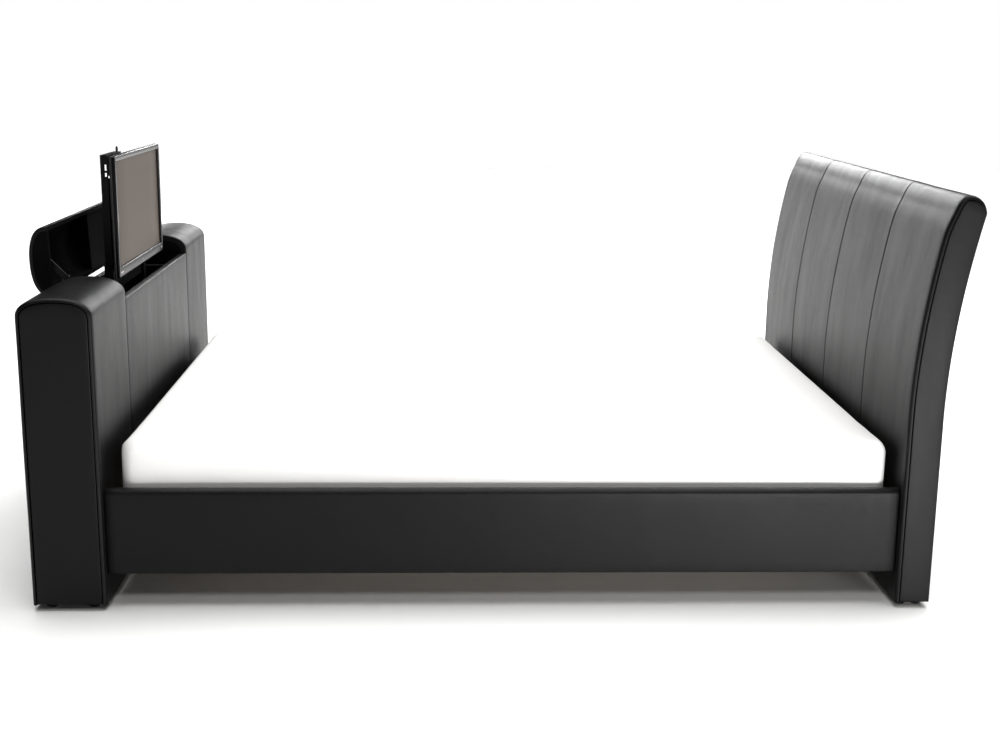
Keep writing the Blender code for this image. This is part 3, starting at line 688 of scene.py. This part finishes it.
def drive_screws(name, places, body, radius=SCREW_RADIUS):
    """Zinc-plated screws whose heads face away from the headboard; their recesses take the black lining as
    painted shade.
    """
    made = made_by(SCREWS, name, places, [], {
        "Radius": radius, "Turn": FACING_REAR, "Plate": ZINC, "Recess Shadow": LINING})
    return fit(made, body)


leaf_screws = []
for number in (1, 2):
    low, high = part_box(f"hinge_{number}_fixed_leaf")
    for y in (low.y + SCREW_IN, high.y - SCREW_IN):
        leaf_screws += [(low.x + SCREW_SUNK, y, low.z + up) for up in SCREW_UP]
drive_screws("hinge_screws", leaf_screws, "bed_frame")
give_finish(ZINC, *(f"hinge_{n}_{leaf}_leaf" for n in (1, 2) for leaf in ("fixed", "lid")))
give_finish(POWDER_COAT, "lid_stay_near", "lid_stay_far")

# --- Lift -------------------------------------------------------------------------------------
# A three-stage steel lift: outer channels bolted to the base, a middle stage and the frame that
# carries the television. A belt from the motor turns a spindle, and its nut raises the frame.


def moulded(name, dark, pale, roughness, spark):
    """Moulded plastic: even, with the fine sparked texture of its tool, spark metres across."""
    made, surface, tree, place = shader_of(name, roughness, ior=1.53)
    grit = cloud(tree, place, 1 / spark, 3.0)
    connect(surface, {
        "Base Color": two_tones(tree, grit, dark, pale), "Normal": bump(tree, grit, 0.3, 0.0001)})
    return made


ABS = moulded("sparked_abs", "#0e0e0f", "#161617", 0.55, 0.0012)
give_finish(POWDER_COAT, "lift_frame", "lift_head", "lift_middle_stage", "lift_channel_near",
            "lift_channel_far", "tv_bracket_plate")
give_finish(ZINC, "lift_spindle", "drive_motor")
give_finish(ABS, "drive_nut", "drive_belt_cover", "control_box")

BOLT_RADIUS = 0.0050
BOLT_IN = 0.02
BOLT_HEIGHTS = (0.8825, 1.0125)
BOLT_SUNK = 0.0040
plate_low, plate_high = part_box("tv_bracket_plate")
bolt_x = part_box("lift_frame")[0].x + BOLT_SUNK
bolts = [(bolt_x, y, z) for y in (plate_low.y + BOLT_IN, plate_high.y - BOLT_IN) for z in BOLT_HEIGHTS]
drive_screws("bracket_bolts", bolts, "television_carriage", radius=BOLT_RADIUS)

# A thin gusset closes the gap between the lift's head and the television
GUSSET_SIZE = (0.0370, 0.0030, 0.0590)
GUSSET_PLACE = (-0.0085, 0.0480, -0.0020)
GUSSET_EDGE = 0.0008
head_low, head_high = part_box("lift_head")
case_low, case_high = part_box("tv_case")
gusset_high = Vector((case_high.x, head_low.y, head_high.z)) + Vector(GUSSET_PLACE)
gusset = soft_box("head_gusset", gusset_high - Vector(GUSSET_SIZE), gusset_high, GUSSET_EDGE, (POWDER_COAT,),
                  uneven=False)
fit(gusset, "television_carriage")

RING_RADIUS = 0.0075
RING_WIRE = 0.0016
RING_IN = (0.011, 0.012)
RING_SUNK = 0.001
RING_STEPS = 28
WIRE_STEPS = 10
ring_centre = Vector((
    head_low.x + RING_IN[0], head_high.y - RING_IN[1], head_high.z + RING_RADIUS - RING_SUNK))
rings = []
for step in range(RING_STEPS):
    angle = 2 * math.pi * step / RING_STEPS
    out = Vector((0, math.cos(angle), math.sin(angle)))
    rings.append([ring_centre + out * (RING_RADIUS + RING_WIRE * math.cos(turn)) +
                  Vector((RING_WIRE * math.sin(turn), 0, 0))
                  for turn in (2 * math.pi * part / WIRE_STEPS for part in range(WIRE_STEPS))])
lifting_ring = piece_of("head_lifting_ring", loft(rings, ends=False), POWDER_COAT)
fit(lifting_ring, "television_carriage")

# --- Television -------------------------------------------------------------------------------
# A 24-inch LCD set: a gloss-black moulded bezel, deeper below the picture, a matt anti-glare
# panel, and a textured rear housing with two rows of louvres.

BEZEL_CORNER = 0.009
BEZEL_INNER_CORNER = 0.0012
BEZEL_FALL = 0.0028
BEZEL_ROUND = 0.22
BEZEL_STEPS = 9
BEZEL_LIP = ((0.90, 0.0003), (0.96, 0.0012), (0.985, 0.0035))
PICTURE_DEEP = 0.0052
PICTURE_EDGE = 0.0004
HOUSING_RIM = 0.0077
HOUSING_EDGE = 0.003
HUMP_HALF = 0.150
HUMP_Z = (0.820, 1.060)
HUMP_ROOT = 0.004
HUMP_EDGE = 0.007
LOUVRE_COUNT = 26
LOUVRE_PITCH = 0.009
LOUVRE_SLOT = (0.0006, 0.0045, 0.016)
LOUVRE_ROWS = (0.7925, 1.0830)
LOUVRE_LIFT = 0.0001
WINDOW_HALF = 0.0022
WINDOW_DEPTH = (0.0004, 0.0003)
WINDOW_EDGE = 0.0002


def gloss_black():
    """High-gloss ABS: black and mirror smooth, with faint flow marks from the mould."""
    made, surface, tree, place = shader_of("high_gloss_abs", 0.20, ior=1.54)
    surface.inputs["Specular IOR Level"].default_value = 0.14
    flow = cloud(tree, place, 30.0, 2.0)
    connect(surface, {
        "Base Color": two_tones(tree, flow, "#080708", "#120f11"), "Normal": bump(tree, flow, 0.1, 0.0004)})
    return made


def anti_glare():
    """A switched-off LCD behind its etched film: warm grey, with a satin haze."""
    made, surface, tree, place = shader_of("anti_glare_lcd", 0.42)
    surface.inputs["Specular IOR Level"].default_value = 0.10
    haze = cloud(tree, place, 1400.0, 2.0)
    connect(surface, {
        "Base Color": two_tones(tree, haze, "#5b514a", "#675d55"),
        "Normal": bump(tree, haze, 0.15, 0.00006)})
    return made


GLOSS, SCREEN = gloss_black(), anti_glare()
tv_low, tv_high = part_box("tv_bezel")
glass_low, glass_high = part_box("tv_screen")
rim_side = glass_low.y - tv_low.y
rim_bottom, rim_top = glass_low.z - tv_low.z, tv_high.z - glass_high.z


def bezel_ring(part, x):
    """A round-cornered ring: part 0 is the bezel's outer edge and part 1 its picture edge."""
    y0, y1 = tv_low.y + rim_side * part, tv_high.y - rim_side * part
    z0, z1 = tv_low.z + rim_bottom * part, tv_high.z - rim_top * part
    radius = max(BEZEL_CORNER * (1 - part), BEZEL_INNER_CORNER)
    ring = []
    for cy, cz, start in ((y1 - radius, z1 - radius, 0), (y0 + radius, z1 - radius, 90),
                          (y0 + radius, z0 + radius, 180), (y1 - radius, z0 + radius, 270)):
        for step in range(7):
            angle = math.radians(start + 15 * step)
            ring.append(Vector((x, cy + radius * math.cos(angle), cz + radius * math.sin(angle))))
    return ring


front_x = tv_high.x
bezel_profile = [(0.0, tv_low.x), (0.0, front_x - BEZEL_FALL)]
for step in range(1, BEZEL_STEPS + 1):
    turn = math.pi / 2 * step / BEZEL_STEPS
    bezel_profile.append((BEZEL_ROUND * (1 - math.cos(turn)), front_x - BEZEL_FALL * (1 - math.sin(turn))))
bezel_profile += [(part, front_x - fall) for part, fall in BEZEL_LIP] + [(BEZEL_LIP[-1][0], tv_low.x)]
bezel_rings = [bezel_ring(part, x) for part, x in bezel_profile]
bezel = piece_of("television_bezel", loft(bezel_rings, ends=False), GLOSS)
fit(bezel, "television_carriage", ["tv_bezel"])
picture_high = Vector((front_x - PICTURE_DEEP, glass_high.y, glass_high.z))
screen = soft_box("television_panel", glass_low, picture_high, PICTURE_EDGE, (SCREEN,), cuts=(1, 4, 4),
                  uneven=False)
fit(screen, "television_carriage", ["tv_screen"])

housing = bmesh.new()
thin_back = case_high.x - HOUSING_RIM
soft_box("", Vector((thin_back, case_low.y, case_low.z)), case_high, HOUSING_EDGE, (), uneven=False,
         shape=housing)
soft_box("", Vector((case_low.x, -HUMP_HALF, HUMP_Z[0])),
         Vector((thin_back + HUMP_ROOT, HUMP_HALF, HUMP_Z[1])), HUMP_EDGE, (), cuts=(1, 3, 3), uneven=False,
         shape=housing)
rear_housing = piece_of("television_housing", housing, ABS)
fit(rear_housing, "television_carriage", ["tv_case"])


def louvre_tree():
    """Geometry Nodes: short upright slots in a row, for the warm air."""
    made, given = geometry_tree("louvres", {
        "Rows": "Geometry", "Count": "Int", "Pitch": "Float", "Slot": "Vector", "Shadow": "Material"},
        "Louvres")
    step = add(made, "ShaderNodeCombineXYZ", {"Y": given["Pitch"]})
    row = add(made, "GeometryNodeMeshLine", {
        "Count": given["Count"], "Offset": step.outputs["Vector"]}, mode="OFFSET")
    slot = add(made, "GeometryNodeMeshCube", {"Size": given["Slot"]})
    rows = on_points(made, given["Rows"], on_points(made, row.outputs["Mesh"], slot.outputs["Mesh"]))
    add(made, "NodeGroupOutput", {"Louvres": in_material(made, realised(made, rows), given["Shadow"])})
    return made


louvre_start = -LOUVRE_PITCH * (LOUVRE_COUNT - 1) / 2
louvres = made_by(louvre_tree(), "television_louvres",
                  [(thin_back + LOUVRE_LIFT, louvre_start, z) for z in LOUVRE_ROWS], [],
                  {"Count": LOUVRE_COUNT, "Pitch": LOUVRE_PITCH, "Slot": LOUVRE_SLOT, "Shadow": LINING})
fit(louvres, "television_carriage")

# Two small frosted lamp windows and a sensor on the lower bezel
lamp_window = moulded("frosted_window", "#b9a9a6", "#d8ccc9", 0.30, 0.004)
sign_z = tv_low.z + rim_bottom * 0.5
marks = bmesh.new()
for y, half in ((tv_low.y + 0.030, 0.0140), (tv_high.y - 0.022, 0.0075), (0.0, WINDOW_HALF)):
    soft_box("", Vector((front_x - WINDOW_DEPTH[0], y - half, sign_z - WINDOW_HALF)),
             Vector((front_x + WINDOW_DEPTH[1], y + half, sign_z + WINDOW_HALF)), WINDOW_EDGE, (),
             uneven=False, shape=marks)
fit(piece_of("bezel_windows", marks, lamp_window), "television_carriage")

# --- Headboard --------------------------------------------------------------------------------
# A leaning slab with a long nose at its top. One cover of four sewn widths runs up the face and
# over it; its three seams are turned in and topstitched. The padded sides are set into its edges.

HEAD_LEAN = 0.076
LEAN_START = 0.500
LEAN_POWER = 1.9
HEAD_THICK = 0.089
HEAD_NOSE = 0.115
HEAD_STEPS = 44
ROUND_STEPS = 40
HEAD_PAD = 0.022
SEAM_DEPTH = 0.0013
SEAM_STITCH_OFF = 0.0052
SIDE_REAR_GAP = 0.0006
SIDE_LIFT = 0.001
BACK_WALL = 0.010
BACK_ROLL = 0.002
pad_low, pad_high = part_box("headboard_front_pad")
head_face_x = pad_low.x
head_top = pad_high.z
round_z = head_top - HEAD_THICK / 2


def lean(z):
    return HEAD_LEAN * (max(z - LEAN_START, 0) / (head_top - LEAN_START)) ** LEAN_POWER


def head_path(front, rear=None, lift=0.0, whole=False):
    """Up the face, over the long nose and round; the whole slab also comes down the back."""
    rear = front if rear is None else rear
    start, nose_z = pad_low.z + lift, head_top - HEAD_NOSE
    path = [start + (nose_z - start) * step / HEAD_STEPS for step in range(HEAD_STEPS)]
    path = [(head_face_x + front + lean(z), z) for z in path]
    for step in range(ROUND_STEPS + 1):
        angle = math.pi * step / ROUND_STEPS
        inset, tall = (front, HEAD_NOSE) if 2 * step < ROUND_STEPS else (rear, HEAD_THICK / 2)
        z = head_top - tall + (tall - front) * math.sin(angle)
        middle = head_face_x + HEAD_THICK / 2 + lean(min(z, round_z))
        path.append((middle - (HEAD_THICK / 2 - inset) * math.cos(angle), z))
    if whole:
        back = [start + (round_z - start) * step / HEAD_STEPS for step in reversed(range(HEAD_STEPS))]
        path += [(head_face_x + HEAD_THICK - rear + lean(z), z) for z in back]
    return path


seam_places = [near_y + (far_y - near_y) * part / 4 for part in (1, 2, 3)]
head_section = rolled_section(near_y, far_y, HEAD_PAD, (EDGE_ROLL, EDGE_ROLL), 0.0, wraps=(True, True),
                              spans=72, seams=seam_places, seam_depth=SEAM_DEPTH)
head_cover = covered("headboard_cover", head_path, head_section, (LEATHER, LINING), depth_of_skin=HEAD_PAD)
fit(head_cover, "bed_frame", ["headboard_front_pad"])
stitch_path = head_path(STITCH_LIFT)
sew("headboard_seam_topstitch",
    [[(x, seam + SEAM_STITCH_OFF, z) for x, z in stitch_path] for seam in seam_places], "bed_frame")
edge_lines = [near_y + EDGE_ROLL + STITCH_IN, far_y - EDGE_ROLL - STITCH_IN]
sew("headboard_edge_topstitch", [[(x, y, z) for x, z in stitch_path] for y in edge_lines], "bed_frame")

for side, outer, inward in (("near", near_y, SHOULDER_WALL), ("far", far_y, -SHOULDER_WALL)):
    panel = set_in_panel(
        f"headboard_side_cover_{side}",
        lambda e: head_path(PANEL_SET_IN + e, SIDE_REAR_GAP + e, lift=SIDE_LIFT + e, whole=True),
        outer, outer + inward, (LEATHER,))
    fit(panel, "bed_frame", [f"headboard_side_{side}"])

back_low, back_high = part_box("headboard_back_panel")


def back_path(inset):
    rise = (back_high.z - back_low.z) / HEAD_STEPS
    heights = [back_low.z + rise * step for step in range(HEAD_STEPS + 1)]
    return [(head_face_x + HEAD_THICK - inset + lean(z), z) for z in heights]


back_section = rolled_section(back_low.y, back_high.y, BACK_WALL, (BACK_ROLL, BACK_ROLL), 0.0, spans=40)
BACK_CLOTH = lining("needled_back_cloth", "#101011", "#242426")
back_cloth = covered("headboard_back_cloth", back_path, back_section, (BACK_CLOTH,))
fit(back_cloth, "bed_frame", ["headboard_back_panel"])

# --- Bed base ---------------------------------------------------------------------------------
# Upholstered side rails with a soft rolled top, pine ledges and a pine centre beam on two legs,
# steel brackets in the corners, and fourteen sprung birch slats.

RAIL_TOP_ROLL = 0.014
RAIL_FOOT_ROLL = 0.004
RAIL_CORNER_STEPS = 7
RAIL_FACE_STEP = 0.025
RAIL_SPANS = 70
RAIL_ENDS = ((0.0, 0.003), (0.0009, 0.0009), (0.003, 0.0))
SLAT_COUNT = 14
SLAT_WIDE = 0.063
SLAT_DEEP = 0.0150
SLAT_THICK = 0.0110
SLAT_BOW = 0.004
SLAT_EASE = 0.0018


def wood(name, early, late, ring_width, roughness):
    """Planed wood: long grain along Y or X, its growth lines ring_width apart."""
    made, surface, tree, place = shader_of(name, roughness)
    drawn = add(tree, "ShaderNodeMapping", {"Vector": place, "Scale": (1.0, 0.12, 1.0)})
    lines = add(tree, "ShaderNodeTexWave", {
        "Vector": drawn.outputs["Vector"], "Scale": 0.16 / ring_width, "Distortion": 7.0, "Detail": 4.0,
        "Detail Scale": 1.4}, bands_direction="X")
    pores = add(tree, "ShaderNodeTexNoise", {
        "Vector": drawn.outputs["Vector"], "Scale": 700.0, "Detail": 3.0})
    flecks = add(tree, "ShaderNodeMix", {
        "Factor": 0.22, 6: two_tones(tree, lines.outputs["Fac"], early, late), 7: pores.outputs["Color"]},
        data_type="RGBA", blend_type="MULTIPLY")
    connect(surface, {
        "Base Color": flecks.outputs[2], "Normal": bump(tree, pores.outputs["Fac"], 0.3, 0.0002)})
    return made


PINE = wood("planed_pine", "#dcbf8e", "#b98f57", 0.006, 0.62)
BIRCH = wood("pressed_birch", "#e3cda6", "#cbab7b", 0.004, 0.45)


def rail_ring(low, high, inset, x):
    """The rail's outline across the bed, with a round top and small round lower edges."""
    ring = []
    corners = ((high.y, high.z, 0, RAIL_TOP_ROLL), (low.y, high.z, 90, RAIL_TOP_ROLL),
               (low.y, low.z, 180, RAIL_FOOT_ROLL), (high.y, low.z, 270, RAIL_FOOT_ROLL))
    for y, z, start, roll in corners:
        for step in range(RAIL_CORNER_STEPS + 1):
            angle = math.radians(start + 90 * step / RAIL_CORNER_STEPS)
            cy = y + roll * (-1 if start in (0, 270) else 1)
            cz = z + roll * (-1 if start < 180 else 1)
            reach = roll - inset
            ring.append(Vector((x, cy + reach * math.cos(angle), cz + reach * math.sin(angle))))
    steps = []
    for at, point in enumerate(ring):
        after = ring[(at + 1) % len(ring)]
        count = max(1, round((after - point).length / RAIL_FACE_STEP))
        steps += [point.lerp(after, part / count) for part in range(count)]
    return steps


for side in ("near", "far"):
    low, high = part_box(f"side_rail_{side}")
    rings = []
    stations = [(low.x + along, inset) for along, inset in RAIL_ENDS]
    stations += [(low.x + (high.x - low.x) * step / RAIL_SPANS, 0.0) for step in range(1, RAIL_SPANS)]
    stations += [(high.x - along, inset) for along, inset in reversed(RAIL_ENDS)]
    for x, inset in stations:
        ring = rail_ring(low, high, inset, x)
        rings.append([point + Vector((0, math.copysign(unevenness(*point), point.y), 0)) for point in ring])
    rail = piece_of(f"side_rail_cover_{side}", loft(rings), LEATHER)
    fit(rail, "bed_frame", [f"side_rail_{side}"])

give_finish(PINE, "slat_ledge_near", "slat_ledge_far", "centre_beam", "headboard_frame")
give_finish(ZINC, *(f"rail_bracket_{side}_{end}" for side in ("near", "far") for end in ("foot", "head")))
give_finish(ABS, "centre_leg_1", "centre_leg_2")


def slat_tree():
    """Geometry Nodes: bowed slats, a pitch apart, in a row along the bed."""
    made, given = geometry_tree("sprung_slats", {
        "Start": "Geometry", "Count": "Int", "Pitch": "Float", "Slat": "Vector", "Bow": "Float",
        "Wood": "Material"}, "Slats")
    blank = add(made, "GeometryNodeMeshCube", {
        "Size": given["Slat"], "Vertices X": 3, "Vertices Y": 25, "Vertices Z": 2})
    place = add(made, "GeometryNodeInputPosition")
    apart = add(made, "ShaderNodeSeparateXYZ", {"Vector": place.outputs["Position"]})
    square = add(made, "ShaderNodeMath", {
        0: apart.outputs["Y"], 1: apart.outputs["Y"]}, operation="MULTIPLY")
    drop = add(made, "ShaderNodeMath", {0: square.outputs["Value"], 1: given["Bow"]}, operation="MULTIPLY")
    down = add(made, "ShaderNodeMath", {0: drop.outputs["Value"], 1: -1.0}, operation="MULTIPLY")
    shift = add(made, "ShaderNodeCombineXYZ", {"Z": down.outputs["Value"]})
    bowed = add(made, "GeometryNodeSetPosition", {
        "Geometry": blank.outputs["Mesh"], "Offset": shift.outputs["Vector"]})
    step = add(made, "ShaderNodeCombineXYZ", {"X": given["Pitch"]})
    row = add(made, "GeometryNodeMeshLine", {
        "Count": given["Count"], "Offset": step.outputs["Vector"]}, mode="OFFSET")
    base = on_points(made, given["Start"], on_points(made, row.outputs["Mesh"], bowed.outputs["Geometry"]))
    add(made, "NodeGroupOutput", {"Slats": in_material(made, realised(made, base), given["Wood"])})
    return made


roll_low, roll_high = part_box("slat_roll")
slat_pitch = (roll_high.x - roll_low.x - SLAT_WIDE) / (SLAT_COUNT - 1)
slat_long = roll_high.y - roll_low.y
slats = made_by(slat_tree(), "sprung_slats",
                [(roll_low.x + SLAT_WIDE / 2, 0.0, roll_low.z + SLAT_DEEP / 2 + SLAT_BOW)], [],
                {"Count": SLAT_COUNT, "Pitch": slat_pitch, "Slat": (SLAT_WIDE, slat_long, SLAT_THICK),
                 "Bow": SLAT_BOW / (slat_long / 2) ** 2, "Wood": BIRCH})
rounding = slats.modifiers.new("eased_edges", "BEVEL")
rounding.width = SLAT_EASE
rounding.segments = 2
rounding.limit_method = "ANGLE"
fit(slats, "bed_frame", ["slat_roll"])

# --- Mattress ---------------------------------------------------------------------------------
# A foam and spring mattress in a white fitted cotton sheet: round upright corners, a crowned top
# and soft edges. Cloth simulation fills the sheet, so it bulges between them.

MATTRESS_SHRINK = 0.003
MATTRESS_VOXEL = 0.014
MATTRESS_CAP = 0.014
MATTRESS_CORNER = 0.034
MATTRESS_EDGE = 0.026
MATTRESS_INSET_Z = (0.002, 0.024)
MATTRESS_FALL = (2.2, 6, 3)
FILLING_PRESSURE = 4.0
FILLING_FRAMES = 20
THREADS = 0.0030


def cotton():
    """Plain-woven white cotton: matt, with a weave drawn coarser than its real 0.5 mm to show."""
    made, surface, tree, place = shader_of("woven_cotton_sheet", 0.88)
    surface.inputs["Sheen Weight"].default_value = 0.15
    surface.inputs["Sheen Roughness"].default_value = 0.5
    tone = cloud(tree, place, 2.2, 3.0)
    warp, weft = (add(tree, "ShaderNodeTexWave", {
        "Vector": place, "Scale": 0.3142 / THREADS, "Distortion": 0.3}, bands_direction=way).outputs["Fac"]
        for way in ("X", "Y"))
    weave = add(tree, "ShaderNodeMath", {0: warp, 1: weft}, operation="MULTIPLY")
    folds = bump(tree, cloud(tree, place, 9.0, 4.0, Distortion=0.8), 0.25, 0.004)
    connect(surface, {
        "Base Color": two_tones(tree, tone, "#f3f1ef", "#f8f8f7"),
        "Normal": bump(tree, weave.outputs["Value"], 0.15, 0.0003, Normal=folds)})
    return made


def filled(piece):
    """Cloth under pressure fills a closed cover; no point moves further than MATTRESS_CAP."""
    remesh = piece.modifiers.new("even_cloth", "REMESH")
    remesh.mode = "VOXEL"
    remesh.voxel_size = MATTRESS_VOXEL
    ready = piece.evaluated_get(bpy.context.evaluated_depsgraph_get())
    even = bpy.data.meshes.new_from_object(ready)
    piece.modifiers.clear()
    piece.data = even
    before = [vert.co.copy() for vert in even.vertices]
    cloth = piece.modifiers.new("filling", "CLOTH")
    cloth.settings.use_pressure = True
    cloth.settings.uniform_pressure_force = FILLING_PRESSURE
    cloth.settings.effector_weights.gravity = 0
    for number in range(1, FILLING_FRAMES + 1):
        bpy.context.scene.frame_set(number)
    ready = piece.evaluated_get(bpy.context.evaluated_depsgraph_get())
    after = [vert.co.copy() for vert in ready.data.vertices]
    piece.modifiers.clear()
    bpy.context.scene.frame_set(1)
    for vert, old, new in zip(piece.data.vertices, before, after):
        move = new - old
        if move.length > MATTRESS_CAP:
            move *= MATTRESS_CAP / move.length
        vert.co = old + move


mat_low, mat_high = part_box("mattress")
block = bmesh.new()
bmesh.ops.create_cube(block, size=1)
inner_low = mat_low + Vector((MATTRESS_SHRINK, MATTRESS_SHRINK, MATTRESS_INSET_Z[0]))
inner_high = mat_high - Vector((MATTRESS_SHRINK, MATTRESS_SHRINK, MATTRESS_INSET_Z[1]))
for vert in block.verts:
    vert.co = Vector((inner_low[axis] + inner_high[axis]) / 2 +
                     vert.co[axis] * (inner_high[axis] - inner_low[axis]) for axis in range(3))
upright = [e for e in block.edges if abs(e.verts[0].co.z - e.verts[1].co.z) > 0.01]
bmesh.ops.bevel(block, geom=upright, offset=MATTRESS_CORNER, segments=8, profile=0.5, affect="EDGES")
rims = [e for e in block.edges if e.calc_face_angle(0.0) > 1.2]
bmesh.ops.bevel(block, geom=rims, offset=MATTRESS_EDGE, segments=6, profile=0.5, affect="EDGES")
mattress = piece_of("mattress_sheet", block)
filled(mattress)
middle_x, middle_y = (mat_low.x + mat_high.x) / 2, (mat_low.y + mat_high.y) / 2
top = max(vert.co.z for vert in mattress.data.vertices)
crown = mat_high.z - top
for vert in mattress.data.vertices:
    across = abs(vert.co.y - middle_y) / (mat_high.y - middle_y)
    along = abs(vert.co.x - middle_x) / (mat_high.x - middle_x)
    height = (vert.co.z - mat_low.z) / (mat_high.z - mat_low.z)
    share = max(0.0, 1 - across ** MATTRESS_FALL[0]) * max(0.0, 1 - along ** MATTRESS_FALL[1])
    vert.co.z += crown * share * max(0.0, height) ** MATTRESS_FALL[2]
mattress.data.materials.append(cotton())
mattress.data.shade_smooth()
fit(mattress, "bed_frame", ["mattress"])

# --- Glides -----------------------------------------------------------------------------------
# Low polypropylene domes nailed under the end boards.

GLIDE_PLASTIC = moulded("polypropylene", "#101011", "#1a1a1b", 0.48, 0.0018)
give_finish(GLIDE_PLASTIC, *(f"glide_{end}_{side}_{number}" for end in ("foot", "head")
                             for side in ("near", "far") for number in (1, 2)))
